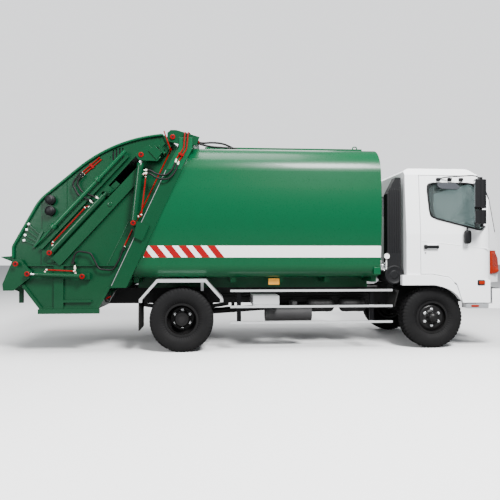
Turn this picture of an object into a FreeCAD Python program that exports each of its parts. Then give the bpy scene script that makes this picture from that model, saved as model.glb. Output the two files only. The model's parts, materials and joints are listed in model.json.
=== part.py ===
"""Rear loading refuse truck: two axle cab-over chassis, oval section body, lifting tailgate with
packing mechanism and bin lifter.

Millimetres. +X points forward, +Y to the vehicle's left, +Z up. The origin lies on the ground under
the middle of the whole vehicle. Every piece is drawn with x = 0 at the rear axle, and its node is
then moved forward into the part's own frame.
"""

import FreeCAD, Part
import math
import os

import Sketcher

Vector = FreeCAD.Vector
document = FreeCAD.newDocument("RefuseTruck")
sheet = document.addObject("Spreadsheet::Sheet", "Sizes")


class Size:
    """A number together with the spreadsheet expression that gives it."""

    def __init__(self, value, text):
        self.value = float(value)
        self.text = text

    def __add__(self, other):
        other = as_size(other)
        return Size(self.value + other.value, f"({self.text} + {other.text})")

    def __radd__(self, other):
        return as_size(other) + self

    def __sub__(self, other):
        other = as_size(other)
        return Size(self.value - other.value, f"({self.text} - {other.text})")

    def __rsub__(self, other):
        return as_size(other) - self

    def __mul__(self, other):
        other = as_size(other)
        return Size(self.value * other.value, f"({self.text} * {other.text})")

    def __rmul__(self, other):
        return as_size(other) * self

    def __truediv__(self, other):
        other = as_size(other)
        return Size(self.value / other.value, f"({self.text} / {other.text})")

    def __neg__(self):
        return Size(-self.value, f"(0 - {self.text})")


def as_size(number):
    return number if isinstance(number, Size) else Size(number, f"({number})")


def cosine(angle):
    return Size(math.cos(math.radians(angle.value)), f"cos({angle.text} * 1deg)")


def sine(angle):
    return Size(math.sin(math.radians(angle.value)), f"sin({angle.text} * 1deg)")


def aim(run, rise):
    """The angle above +X and the length of a line in a plane of constant y."""
    angle = math.degrees(math.atan2(rise.value, run.value))
    reach = math.hypot(rise.value, run.value)
    return (Size(angle, f"(atan2({rise.text}; {run.text}) / 1deg)"),
            Size(reach, f"hypot({rise.text}; {run.text})"))


cell_count = 0


def size(alias, value):
    """Write one driving dimension into the sheet and hand it back."""
    global cell_count
    cell_count += 1
    sheet.set(f"A{cell_count}", alias)
    sheet.set(f"B{cell_count}", str(value))
    sheet.setAlias(f"B{cell_count}", alias)
    return Size(value, f"Sizes.{alias}")


ZERO = Size(0, "0")
quarter_turn = Size(90, "90")

# Whole vehicle
overall_length = size("OverallLength", 6780)
rear_reach = size("RearReach", 2320)
wheelbase = size("Wheelbase", 3420)
body_half_width = size("BodyHalfWidth", 1125)
cab_half_width = size("CabHalfWidth", 1060)
running_fit = size("RunningFit", 0.05)
seat_gap = size("SeatGap", 0.3)
moving_gap = size("MovingGap", 6)
overrun = size("Overrun", 40)

# Wheels
tyre_radius = size("TyreRadius", 420)
tyre_width = size("TyreWidth", 230)
bead_radius = size("BeadRadius", 203)
rim_flange = size("RimFlange", 19)
rim_wall = size("RimWall", 8)
rim_width = size("RimWidth", 170)
front_wheel_y = size("FrontWheelY", 885)
dual_mid_y = size("DualMidY", 830)
dual_spacing = size("DualSpacing", 280)
spindle_radius = size("SpindleRadius", 45)
hub_radius = size("HubRadius", 105)
bolt_circle_radius = size("BoltCircleRadius", 111)

# Chassis frame
rail_bottom = size("RailBottom", 590)
rail_height = size("RailHeight", 220)
rail_outer_y = size("RailOuterY", 420)
rail_flange = size("RailFlange", 75)
rail_wall = size("RailWall", 10)
frame_rear = size("FrameRear", 1070)
frame_front = size("FrameFront", 4330)
cross_member_length = size("CrossMemberLength", 70)
cross_member_drop = size("CrossMemberDrop", 30)
hitch_hole_radius = size("HitchHoleRadius", 8)
hitch_spacing = size("HitchSpacing", 60)
hitch_y = size("HitchY", 375)

# Body
floor_height = size("BodyFloorHeight", 975)
body_front = size("BodyFront", 2670)
body_wide_height = size("BodyWideHeight", 1850)
body_top = size("BodyTop", 2840)
body_wall = size("BodyWall", 24)
body_foot_y = size("BodyFootY", 1040)
body_foot_radius = size("BodyFootRadius", 190)
flank_bow = size("FlankBow", 6)
body_flank_radius = size("BodyFlankRadius", 3400)
body_shoulder_y = size("BodyShoulderY", 1060)
body_shoulder_height = size("BodyShoulderHeight", 2690)
body_shoulder_radius = size("BodyShoulderRadius", 380)
body_crown_height = size("BodyCrownHeight", 2865)
body_crown_radius = size("BodyCrownRadius", 2000)
top_rail_y = size("TopRailY", 290)
top_rail_width = size("TopRailWidth", 44)
top_rail_proud = size("TopRailProud", 12)
sill_top = size("SillTop", 950)
seam_foot_x = size("SeamFootX", 910)
seam_foot_height = size("SeamFootHeight", 853)
seam_angle = size("SeamAngle", 65.2)
seal_gap = size("SealGap", 12)
post_depth = size("PostDepth", 205)
post_width = size("PostWidth", 130)
post_top = size("PostTop", 2840)
post_bend_height = size("PostBendHeight", 2390)
post_lean = size("PostLean", 110)

# Tailgate hinge and lift cylinders
hinge_x = size("HingeX", -115)
hinge_height = size("HingeHeight", 2819)
hinge_pin_radius = size("HingePinRadius", 28)
ear_radius = size("EarRadius", 95)
ear_thickness = size("EarThickness", 25)
ear_y = size("EarY", 1070)
lift_pin_x = size("LiftPinX", -516)
lift_pin_height = size("LiftPinHeight", 2571)
lift_foot_x = size("LiftFootX", -615)
lift_foot_height = size("LiftFootHeight", 1689)
lift_y = size("LiftCylinderY", 1122)
lift_barrel_radius = size("LiftBarrelRadius", 43)
lift_rod_radius = size("LiftRodRadius", 25)
lift_barrel_length = size("LiftBarrelLength", 730)
cylinder_pin_radius = size("CylinderPinRadius", 22)
cylinder_wall = size("CylinderWall", 9)
eye_radius = size("EyeRadius", 42)
eye_width = size("EyeWidth", 50)

# Tailgate
tail_side_y = size("TailSideY", 1000)
tail_plate = size("TailPlate", 14)
tail_roof_x = size("TailRoofX", -255)
tail_roof_height = size("TailRoofHeight", 2876)
tail_crown_x = size("TailCrownX", -916)
tail_crown_height = size("TailCrownHeight", 2783)
tail_crown_radius = size("TailCrownRadius", 2000)
tail_back_x = size("TailBackX", -1841)
tail_back_height = size("TailBackHeight", 1994)
tail_back_radius = size("TailBackRadius", 600)
tail_lip_x = size("TailLipX", -2175)
tail_lip_height = size("TailLipHeight", 1385)
hopper_lip_height = size("HopperLipHeight", 1240)
hopper_back_x = size("HopperBackX", -2158)
hopper_back_height = size("HopperBackHeight", 1019)
hopper_floor_x = size("HopperFloorX", -1828)
hopper_floor_height = size("HopperFloorHeight", 576)
hopper_front_x = size("HopperFrontX", -1078)
cover_end_x = size("CoverEndX", -1870)
cover_end_height = size("CoverEndHeight", 1935)
lip_height = size("LipHeight", 1255)
rib_depth = size("RibDepth", 60)
flange_proud = size("FlangeProud", 24)
flange_width = size("FlangeWidth", 22)
cheek_rib_x = size("CheekRibX", -1585)
cheek_ledge_height = size("CheekLedgeHeight", 660)
vent_x = size("VentX", -835)
vent_height = size("VentMiddleHeight", 2600)
vent_half_length = size("VentHalfLength", 105)
vent_half_height = size("VentHalfHeight", 95)
vent_bar = size("VentBar", 18)

# Packing mechanism
slide_angle = size("SlideAngle", 47.8)
slide_travel = size("SlideTravel", 550)
slide_eye_x = size("SlideEyeX", -950)
slide_eye_height = size("SlideEyeHeight", 2119)
slide_cylinder_length = size("SlideCylinderLength", 1100)
slide_y = size("SlideCylinderY", 1045)
slide_barrel_radius = size("SlideBarrelRadius", 40)
slide_rod_radius = size("SlideRodRadius", 22)
slot_width = size("SlotWidth", 110)
carriage_thickness = size("CarriageThickness", 70)
carriage_half_width = size("CarriageHalfWidth", 965)
carriage_top = size("CarriageTop", 160)
blade_hinge_drop = size("BladeHingeDrop", 780)
blade_length = size("BladeLength", 700)
blade_thickness = size("BladeThickness", 60)
blade_rest_angle = size("BladeRestAngle", 285)
blade_pin_radius = size("BladePinRadius", 30)
blade_barrel_length = size("BladeBarrelLength", 620)
blade_lever = size("BladeLever", 210)
blade_lever_angle = size("BladeLeverAngle", 132.2)
blade_cylinder_y = size("BladeCylinderY", 440)
blade_cylinder_offset = size("BladeCylinderOffset", 150)
blade_cylinder_top = size("BladeCylinderTop", 110)
blade_barrel_radius = size("BladeBarrelRadius", 38)
blade_rod_radius = size("BladeRodRadius", 22)
blade_rod_length = size("BladeRodLength", 675)

# Bin lifter
lifter_x = size("LifterX", -2094)
lifter_height = size("LifterHeight", 1163)
lifter_eye_x = size("LifterEyeX", -1953)
lifter_eye_height = size("LifterEyeHeight", 1035)
lifter_foot_x = size("LifterFootX", -1266)
lifter_foot_height = size("LifterFootHeight", 1001)
lifter_cylinder_y = size("LifterCylinderY", 1088)
lifter_barrel_radius = size("LifterBarrelRadius", 29)
lifter_rod_radius = size("LifterRodRadius", 15)
lifter_barrel_length = size("LifterBarrelLength", 560)
lever_thickness = size("LeverThickness", 24)
lifter_eye_radius = size("LifterEyeRadius", 32)
lifter_eye_width = size("LifterEyeWidth", 36)
lifter_pin_radius = size("LifterPinRadius", 16)
lifter_lever_y = lifter_cylinder_y - lifter_eye_width / 2 - seat_gap

# Cab
cab_rear = size("CabRear", 3030)
cab_floor = size("CabFloor", 900)
cab_roof = size("CabRoof", 2480)
cab_front = size("CabFront", 4435)
belt_height = size("BeltHeight", 1560)
cab_wall = size("CabWall", 60)
glass_depth = size("GlassDepth", 26)
glass_thickness = size("GlassThickness", 8)
door_rear = size("DoorRear", 3230)
door_front = size("DoorFront", 4205)
door_top = size("DoorTop", 2370)
skirt_bottom = size("SkirtBottom", 627)
door_gap = size("DoorGap", 7)
tilt_x = size("TiltX", 4340)
tilt_height = size("TiltHeight", 862)
tilt_pin_radius = size("TiltPinRadius", 22)

rail_top = rail_bottom + rail_height
front_axle_x = wheelbase
bumper_face = overall_length - rear_reach
rear_axle_place = rear_reach - overall_length / 2


def point_on_seam(height, offset=ZERO):
    """x of the slanted seam between body and tailgate at a height, moved forward by an offset."""
    return (height - seam_foot_height) * cosine(seam_angle) / sine(seam_angle) - seam_foot_x + offset


def seam_back(height, offset=ZERO):
    """x of the tailgate's front edge at a height, behind the seam by the seal gap and an offset."""
    return point_on_seam(height) - seal_gap - offset


def origin_feature(body, role):
    for feature in body.Origin.OriginFeatures:
        if feature.Role == role:
            return feature
    raise RuntimeError(role)


def outline_sketch(body, name, plane, outline, offset=None):
    """A closed outline on one of the body's own origin planes, each corner bound to the sheet."""
    sketch = body.newObject("Sketcher::SketchObject", name)
    sketch.AttachmentSupport = (origin_feature(body, plane), [""])
    sketch.MapMode = "FlatFace"
    count = len(outline)
    corners = [Vector(a.value, b.value, 0) for a, b in outline]
    for index in range(count):
        sketch.addGeometry(Part.LineSegment(corners[index], corners[(index + 1) % count]), False)
    for index in range(count):
        sketch.addConstraint(Sketcher.Constraint("Coincident", index, 2, (index + 1) % count, 1))
    for index, (across, upward) in enumerate(outline):
        for kind, measure in (("DistanceX", across), ("DistanceY", upward)):
            number = sketch.addConstraint(Sketcher.Constraint(kind, -1, 1, index, 1, measure.value))
            sketch.setExpression(f"Constraints[{number}]", measure.text)
    if offset is not None:
        sketch.setExpression("AttachmentOffset.Base.z", offset.text)
    return sketch


def padded_outline(name, plane, outline, offset, thickness, rounds=()):
    """An outline carried straight across; rounds lists (corner numbers, radius) pairs."""
    body = document.addObject("PartDesign::Body", name)
    sketch = outline_sketch(body, name + "_outline", plane, outline, offset)
    feature = body.newObject("PartDesign::Pad", name + "_pad")
    feature.Profile = sketch
    feature.setExpression("Length", thickness.text)
    body.Tip = feature
    for numbers, radius in rounds:
        document.recompute()
        edges = []
        for edge_number, edge in enumerate(feature.Shape.Edges, start=1):
            middle = edge.CenterOfMass
            if plane == "XZ_Plane":
                place, along = (middle.x, middle.z), edge.Vertexes[0].Point.y != edge.Vertexes[-1].Point.y
            elif plane == "YZ_Plane":
                place, along = (middle.y, middle.z), edge.Vertexes[0].Point.x != edge.Vertexes[-1].Point.x
            else:
                place, along = (middle.x, middle.y), edge.Vertexes[0].Point.z != edge.Vertexes[-1].Point.z
            for number in numbers:
                corner = outline[number]
                near = math.hypot(place[0] - corner[0].value, place[1] - corner[1].value)
                if along and near < 1e-3:
                    edges.append(f"Edge{edge_number}")
        fillet = body.newObject("PartDesign::Fillet", name + "_round")
        fillet.Base = (feature, edges)
        fillet.setExpression("Radius", radius.text)
        body.Tip = fillet
        feature = fillet
    return body


def side_slab(name, outline, low, high, rounds=()):
    """Outline of (x, z) points, solid between two y values."""
    return padded_outline(name, "XZ_Plane", outline, -high, high - low, rounds)


def end_slab(name, outline, low, high, rounds=()):
    """Outline of (y, z) points, solid between two x values."""
    return padded_outline(name, "YZ_Plane", outline, low, high - low, rounds)


def plan_slab(name, outline, low, high, rounds=()):
    """Outline of (x, y) points, solid between two z values."""
    return padded_outline(name, "XY_Plane", outline, low, high - low, rounds)


def turned(name, outline, x, z):
    """Outline of (y, radius) points, turned about a line along Y through (x, z)."""
    body = document.addObject("PartDesign::Body", name)
    sketch = outline_sketch(body, name + "_outline", "YZ_Plane", outline)
    feature = body.newObject("PartDesign::Revolution", name + "_turn")
    feature.Profile = sketch
    feature.ReferenceAxis = (sketch, ["H_Axis"])
    feature.Angle = 360
    body.Tip = feature
    body.setExpression("Placement.Base.x", x.text)
    body.setExpression("Placement.Base.z", z.text)
    return body


def block(name, x_low, x_high, y_low, y_high, z_low, z_high):
    box = document.addObject("Part::Box", name)
    for side, low, high in (("Length", x_low, x_high), ("Width", y_low, y_high), ("Height", z_low, z_high)):
        box.setExpression(side, (as_size(high) - as_size(low)).text)
    for letter, low in (("x", x_low), ("y", y_low), ("z", z_low)):
        box.setExpression(f"Placement.Base.{letter}", as_size(low).text)
    return box


def cylinder_at(name, radius, x, y, z, length, axis, angle):
    """A cylinder that starts at a point and runs along Z turned by an angle about an axis."""
    cylinder = document.addObject("Part::Cylinder", name)
    cylinder.setExpression("Radius", radius.text)
    cylinder.setExpression("Height", length.text)
    cylinder.Placement = FreeCAD.Placement(Vector(), FreeCAD.Rotation(axis, angle.value))
    cylinder.setExpression("Placement.Rotation.Angle", angle.text)
    for letter, place in (("x", x), ("y", y), ("z", z)):
        cylinder.setExpression(f"Placement.Base.{letter}", as_size(place).text)
    return cylinder


def cross_pin(name, radius, x, z, y_low, y_high):
    """A cylinder along Y."""
    return cylinder_at(name, radius, x, y_low, z, y_high - y_low, Vector(1, 0, 0), -quarter_turn)


def upright(name, radius, x, y, z_low, z_high):
    return cylinder_at(name, radius, x, y, z_low, z_high - z_low, Vector(0, 1, 0), ZERO)


def length_bar(name, radius, x_low, x_high, y, z):
    return cylinder_at(name, radius, x_low, y, z, x_high - x_low, Vector(0, 1, 0), quarter_turn)


def leaning_bar(name, radius, x, y, z, length, rise):
    """A cylinder in a plane of constant y that climbs at an angle above +X."""
    return cylinder_at(name, radius, x, y, z, length, Vector(0, 1, 0), quarter_turn - rise)


def cut(name, base, tool):
    result = document.addObject("Part::Cut", name)
    result.Base = base
    result.Tool = tool
    return result


def fuse(name, pieces):
    result = document.addObject("Part::MultiFuse", name)
    result.Shapes = pieces
    return result


def common(name, pieces):
    result = document.addObject("Part::MultiCommon", name)
    result.Shapes = pieces
    return result


def pipe(name, radius, bend, places, y):
    """A round pipe in a plane of constant y: straight runs through the places, joined by tangent arcs."""
    sketch = document.addObject("Sketcher::SketchObject", name + "_route")
    sketch.Placement = FreeCAD.Placement(Vector(), FreeCAD.Rotation(Vector(1, 0, 0), quarter_turn.value))
    sketch.setExpression("Placement.Base.y", y.text)
    headings = []
    for near, far in zip(places, places[1:]):
        headings.append(aim(far[0] - near[0], far[1] - near[1])[0])
    starts = [places[0]]
    ends = []
    turns = []
    for number in range(1, len(places) - 1):
        before, after = headings[number - 1], headings[number]
        turn = after - before
        if turn.value > quarter_turn.value * 2:
            turn = turn - quarter_turn * 4
        elif turn.value < -quarter_turn.value * 2:
            turn = turn + quarter_turn * 4
        side = 1 if turn.value > 0 else -1
        half = turn / 2 * side
        trim = bend * sine(half) / cosine(half)
        corner = places[number]
        ends.append((corner[0] - cosine(before) * trim, corner[1] - sine(before) * trim))
        starts.append((corner[0] + cosine(after) * trim, corner[1] + sine(after) * trim))
        turns.append(side)
    ends.append(places[-1])
    for (x_low, z_low), (x_high, z_high) in zip(starts, ends):
        sketch.addGeometry(Part.LineSegment(Vector(x_low.value, z_low.value, 0),
                                            Vector(x_high.value, z_high.value, 0)), False)
    for number, ((x_low, z_low), (x_high, z_high)) in enumerate(zip(starts, ends)):
        for end, x, z in ((1, x_low, z_low), (2, x_high, z_high)):
            for kind, measure in (("DistanceX", x), ("DistanceY", z)):
                found = sketch.addConstraint(Sketcher.Constraint(kind, -1, 1, number, end, measure.value))
                sketch.setExpression(f"Constraints[{found}]", measure.text)
    runs = len(starts)
    for number, side in enumerate(turns):
        heading = math.radians(headings[number].value)
        onward = math.radians(headings[number + 1].value)
        x, z = ends[number]
        centre = Vector(x.value - side * math.sin(heading) * bend.value,
                        z.value + side * math.cos(heading) * bend.value, 0)
        angles = (heading - math.pi / 2, onward - math.pi / 2) if side > 0 else \
                 (onward + math.pi / 2, heading + math.pi / 2)
        circle = Part.Circle(centre, Vector(0, 0, 1), bend.value)
        arc = sketch.addGeometry(Part.ArcOfCircle(circle, *angles), False)
        first, last = (1, 2) if side > 0 else (2, 1)
        sketch.addConstraint(Sketcher.Constraint("Coincident", arc, first, number, 2))
        sketch.addConstraint(Sketcher.Constraint("Coincident", arc, last, number + 1, 1))
        found = sketch.addConstraint(Sketcher.Constraint("Radius", arc, bend.value))
        sketch.setExpression(f"Constraints[{found}]", bend.text)
    first_tilt = quarter_turn - headings[0]
    ring = document.addObject("Part::Circle", name + "_ring")
    ring.setExpression("Radius", radius.text)
    ring.Placement = FreeCAD.Placement(Vector(), FreeCAD.Rotation(Vector(0, 1, 0), first_tilt.value))
    ring.setExpression("Placement.Rotation.Angle", first_tilt.text)
    for letter, place in (("x", places[0][0]), ("y", y), ("z", places[0][1])):
        ring.setExpression(f"Placement.Base.{letter}", place.text)
    sketch.recompute()
    ring.recompute()
    swept = document.addObject("Part::Sweep", name)
    swept.Sections = [ring]
    swept.Spine = (sketch, [f"Edge{number + 1}" for number in range(runs + len(turns))])
    swept.Solid = True
    swept.Frenet = True
    return swept


nodes = []


def node(label, pieces):
    """Gather the solids of one named piece and carry them from the axle's frame to the part's frame."""
    group = document.addObject("Part::Compound", "Node_" + label)
    group.Links = pieces
    group.Label = label
    group.setExpression("Placement.Base.x", rear_axle_place.text)
    nodes.append(group)
    return group


SIDES = (("right", -1), ("left", 1))


def span(side, inner, outer):
    """The low and high y of a piece that lies between two distances from the middle on one side."""
    return (inner, outer) if side > 0 else (-outer, -inner)


# Wheels and axles


def tyre_outline(middle):
    half = tyre_width / 2
    shares = ((0.655, 0.0), (0.655, 0.10), (0.92, 0.20), (1.0, 0.42), (0.96, 0.72), (0.86, 0.93), (0.70, 1.0))
    wall = tyre_radius - bead_radius - seat_gap
    near = [(middle - half * across, bead_radius + seat_gap + wall * up) for across, up in shares]
    far = [(middle + half * across, bead_radius + seat_gap + wall * up) for across, up in reversed(shares)]
    return near + far


def rear_wheel(side_name, side):
    half = rim_width / 2
    inner = dual_mid_y - dual_spacing / 2
    outer = dual_mid_y + dual_spacing / 2
    seat = bead_radius - rim_wall
    top = bead_radius + rim_flange
    bore = spindle_radius + running_fit
    disc = rim_wall + rim_wall / 2
    waist = bolt_circle_radius + rim_wall * 5
    outline = [
        (inner - half, bore), (inner - half, hub_radius), (dual_mid_y - disc, hub_radius),
        (dual_mid_y - disc, waist), (inner + half - rim_wall, seat), (inner - half, seat),
        (inner - half, top), (inner - half + rim_wall, top), (inner - half + rim_wall, bead_radius),
        (inner + half - rim_wall, bead_radius), (inner + half - rim_wall, top), (inner + half, top),
        (inner + half, bead_radius), (dual_mid_y, waist + rim_wall * 2), (outer - half, bead_radius),
        (outer - half, top), (outer - half + rim_wall, top), (outer - half + rim_wall, bead_radius),
        (outer + half - rim_wall, bead_radius), (outer + half - rim_wall, top), (outer + half, top),
        (outer + half, seat), (outer - half + rim_wall * 2, seat), (dual_mid_y + disc, waist),
        (dual_mid_y + disc, hub_radius), (outer - rim_wall, hub_radius),
        (outer + rim_wall * 2, hub_radius * 0.8), (outer + rim_wall * 2, bore),
    ]
    placed = [(across * side, radius) for across, radius in outline]
    rim = turned(f"RearRim{side_name}", placed, ZERO, tyre_radius)
    node(f"rear_rims_{side_name}", [rim])
    tyres = []
    for place_name, middle in (("inner", inner), ("outer", outer)):
        placed = [(across * side, radius) for across, radius in tyre_outline(middle)]
        tyres.append(turned(f"RearTyre{side_name}{place_name}", placed, ZERO, tyre_radius))
    node(f"rear_tyres_{side_name}", tyres)


def front_wheel(side_name, side):
    half = rim_width / 2
    middle = front_wheel_y
    seat = bead_radius - rim_wall
    top = bead_radius + rim_flange
    bore = spindle_radius + running_fit
    face = middle + half - rim_wall * 4
    outline = [
        (middle - half + rim_wall * 5, bore), (middle - half + rim_wall * 5, hub_radius),
        (face - rim_wall, hub_radius), (face - rim_wall, hub_radius + rim_wall * 6),
        (face - rim_wall * 4, seat), (middle - half, seat), (middle - half, top),
        (middle - half + rim_wall, top), (middle - half + rim_wall, bead_radius),
        (middle + half - rim_wall, bead_radius), (middle + half - rim_wall, top),
        (middle + half, top), (middle + half, seat), (face - rim_wall * 2, seat),
        (face + rim_wall, hub_radius + rim_wall * 6), (face + rim_wall, hub_radius),
        (face + rim_wall * 3, hub_radius * 0.8), (face + rim_wall * 7, hub_radius * 0.7),
        (face + rim_wall * 7, bore),
    ]
    placed = [(across * side, radius) for across, radius in outline]
    node(f"front_rim_{side_name}", [turned(f"FrontRim{side_name}", placed, front_axle_x, tyre_radius)])
    placed = [(across * side, radius) for across, radius in tyre_outline(middle)]
    node(f"front_tyre_{side_name}", [turned(f"FrontTyre{side_name}", placed, front_axle_x, tyre_radius)])


king_pin_y = size("KingPinY", 700)
king_pin_radius = size("KingPinRadius", 22)
beam_half_width = size("BeamHalfWidth", 36)
beam_height = size("BeamHeight", 90)
beam_drop = size("BeamDrop", 60)
backplate_radius = size("BackplateRadius", 165)
backplate_thickness = size("BackplateThickness", 14)
yoke_height = size("YokeHeight", 46)


def front_axle():
    low = tyre_radius - beam_drop - beam_height / 2
    high = low + beam_height
    eye = beam_half_width + rail_wall / 5
    pieces = [block("FrontBeam", front_axle_x - beam_half_width, front_axle_x + beam_half_width,
                    -king_pin_y, king_pin_y, low, high)]
    for side_name, side in SIDES:
        pieces.append(upright(f"BeamEye{side_name}", eye, front_axle_x, king_pin_y * side, low, high))
    body = fuse("FrontBeamBody", pieces)
    bores = [upright(f"BeamBore{name}", king_pin_radius + running_fit, front_axle_x, king_pin_y * side,
                     low - overrun, high + overrun) for name, side in SIDES]
    trimmed = cut("FrontBeamTrim", body, fuse("BeamBores", bores))
    node("front_axle", [trimmed])
    for side_name, side in SIDES:
        knuckle(side_name, side, low, high)


def knuckle(side_name, side, low, high):
    plate_y = king_pin_y + beam_half_width + moving_gap * 2
    lug_radius = beam_half_width
    pin = upright(f"KingPin{side_name}", king_pin_radius, front_axle_x, king_pin_y * side,
                  low - yoke_height, high + yoke_height)
    lugs = []
    for lug_name, start in (("low", low - yoke_height), ("high", high + seat_gap)):
        end = start + yoke_height - seat_gap
        lugs.append(upright(f"Lug{side_name}{lug_name}", lug_radius, front_axle_x, king_pin_y * side, start,
                            end))
        y_low, y_high = span(side, king_pin_y, plate_y + backplate_thickness / 2)
        lugs.append(block(f"LugArm{side_name}{lug_name}", front_axle_x - lug_radius,
                          front_axle_x + lug_radius,
                          y_low, y_high, start, end))
    flare = [(plate_y, ZERO), (plate_y, backplate_radius), (plate_y + backplate_thickness, backplate_radius),
             (plate_y + backplate_thickness, spindle_radius * 1.5),
             (front_wheel_y - rim_width / 2, spindle_radius * 1.5),
             (front_wheel_y - rim_width / 2, spindle_radius), (front_wheel_y + rim_width / 2, spindle_radius),
             (front_wheel_y + rim_width / 2, ZERO)]
    placed = [(across * side, radius) for across, radius in flare]
    spindle = turned(f"Spindle{side_name}", placed, front_axle_x, tyre_radius)
    node(f"steering_knuckle_{side_name}", [fuse(f"Knuckle{side_name}", [pin, spindle] + lugs)])


axle_tube_radius = size("AxleTubeRadius", 62)
bowl_radius = size("BowlRadius", 190)
bowl_half_width = size("BowlHalfWidth", 120)
shaft_radius = size("ShaftRadius", 45)
flange_depth = size("FlangeDepth", 26)


def rear_axle():
    inner_face = dual_mid_y - dual_spacing / 2 - rim_width / 2
    end = dual_mid_y + dual_spacing / 2 + rim_wall * 2
    outline = [(-end, ZERO), (-end, spindle_radius), (-inner_face + rim_wall, spindle_radius),
               (-inner_face + rim_wall, axle_tube_radius), (-bowl_half_width * 1.6, axle_tube_radius),
               (-bowl_half_width * 0.7, bowl_radius * 0.94), (-bowl_half_width * 0.3, bowl_radius),
               (bowl_half_width * 0.3, bowl_radius), (bowl_half_width * 0.7, bowl_radius * 0.94),
               (bowl_half_width * 1.6, axle_tube_radius), (inner_face - rim_wall, axle_tube_radius),
               (inner_face - rim_wall, spindle_radius), (end, spindle_radius), (end, ZERO)]
    nose = length_bar("PinionNose", shaft_radius * 1.4, bowl_radius * 0.7, bowl_radius + flange_depth, ZERO,
                      tyre_radius)
    node("rear_axle", [fuse("RearAxleBody", [turned("RearAxle", outline, ZERO, tyre_radius), nose])])


front_axle()
rear_axle()
for wheel_side, wheel_sign in SIDES:
    front_wheel(wheel_side, wheel_sign)
    rear_wheel(wheel_side, wheel_sign)

# Chassis frame, springs, drive line


def chassis_frame():
    pieces = []
    for side_name, side in SIDES:
        y_low, y_high = span(side, rail_outer_y - rail_flange, rail_outer_y)
        rail = block(f"Rail{side_name}", -frame_rear, frame_front, y_low, y_high, rail_bottom, rail_top)
        y_low, y_high = span(side, rail_outer_y - rail_flange - overrun, rail_outer_y - rail_wall)
        hollow = block(f"RailHollow{side_name}", -frame_rear - overrun, frame_front + overrun, y_low, y_high,
                       rail_bottom + rail_wall, rail_top - rail_wall)
        pieces.append(cut(f"RailChannel{side_name}", rail, hollow))
    inner = rail_outer_y - rail_wall
    shares = (0.06, 0.165, 0.30, 0.46, 0.62, 0.985)
    reach = frame_front + frame_rear - cross_member_length
    for number, share in enumerate(shares):
        start = reach * share - frame_rear
        pieces.append(block(f"CrossMember{number}", start, start + cross_member_length, -inner, inner,
                            rail_bottom + cross_member_drop, rail_top - rail_wall))
    for side_name, side in SIDES:
        y_low, y_high = span(side, rail_outer_y - rail_flange, rail_outer_y)
        pieces.append(side_slab(f"TiltBracket{side_name}", [
            (frame_front - rail_flange, rail_top - rail_wall), (frame_front, rail_top - rail_wall),
            (tilt_x + tilt_pin_radius * 1.4, tilt_height - tilt_pin_radius),
            (tilt_x + tilt_pin_radius * 1.4, tilt_height + tilt_pin_radius * 0.55),
            (tilt_x + tilt_pin_radius * 0.55, tilt_height + tilt_pin_radius * 1.4),
            (tilt_x - tilt_pin_radius * 1.4, tilt_height + tilt_pin_radius * 1.4),
            (tilt_x - tilt_pin_radius * 3, tilt_height - tilt_pin_radius)], y_low, y_high))
    frame = fuse("FrameBody", pieces)
    bores = [cross_pin("TiltBore", tilt_pin_radius + running_fit, tilt_x, tilt_height,
                       -rail_outer_y - overrun, rail_outer_y + overrun)]
    for side_name, side in SIDES:
        for number in (-1, 1):
            bores.append(upright(f"HitchHole{side_name}{number}", hitch_hole_radius,
                                 hitch_spacing * number / 2 - frame_rear * 0.85, hitch_y * side,
                                 rail_bottom - overrun, rail_bottom + rail_wall + cross_member_drop / 2))
    slope = (seam_back(seam_foot_height) - hopper_front_x) / (seam_foot_height - hopper_floor_height)
    low = rail_bottom - overrun
    high = rail_top + overrun
    near = hopper_front_x + moving_gap * 1.5
    bores.append(side_slab("HopperRoom", [
        (hopper_front_x - overrun, low), (near + slope * (low - hopper_floor_height), low),
        (near + slope * (high - hopper_floor_height), high), (hopper_front_x - overrun, high)],
        -rail_outer_y - overrun, rail_outer_y + overrun))
    node("chassis_frame", [cut("FrameTrim", frame, fuse("FrameBores", bores))])


spring_thickness = size("SpringThickness", 60)
front_spring_half = size("FrontSpringHalf", 560)
rear_spring_half = size("RearSpringHalf", 640)


def leaf_spring(name, centre, half, seat_height, side):
    """A leaf pack that rests on its axle at the middle and reaches up to the rail at both ends."""
    y_low, y_high = span(side, rail_outer_y - rail_flange, rail_outer_y)
    top = rail_bottom
    outline = [(centre - half, top), (centre - half, top - spring_thickness * 0.6),
               (centre - half * 0.3, seat_height), (centre + half * 0.3, seat_height),
               (centre + half, top - spring_thickness * 0.6), (centre + half, top),
               (centre + half * 0.92, top), (centre + half * 0.3, seat_height + spring_thickness),
               (centre - half * 0.3, seat_height + spring_thickness), (centre - half * 0.92, top)]
    return side_slab(name, outline, y_low, y_high)


def springs():
    beam_top = tyre_radius - beam_drop + beam_height / 2
    packs = []
    for side_name, side in SIDES:
        packs.append(leaf_spring(f"FrontSpring{side_name}", front_axle_x, front_spring_half, beam_top, side))
        packs.append(leaf_spring(f"RearSpring{side_name}", ZERO, rear_spring_half,
                                 tyre_radius + axle_tube_radius + seat_gap, side))
    node("leaf_springs", packs)


engine_half_width = size("EngineHalfWidth", 300)
engine_length = size("EngineLength", 1050)
engine_top = size("EngineTop", 870)
engine_bottom = size("EngineBottom", 470)
engine_front = size("EngineFront", 4120)
gearbox_length = size("GearboxLength", 620)


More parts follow.
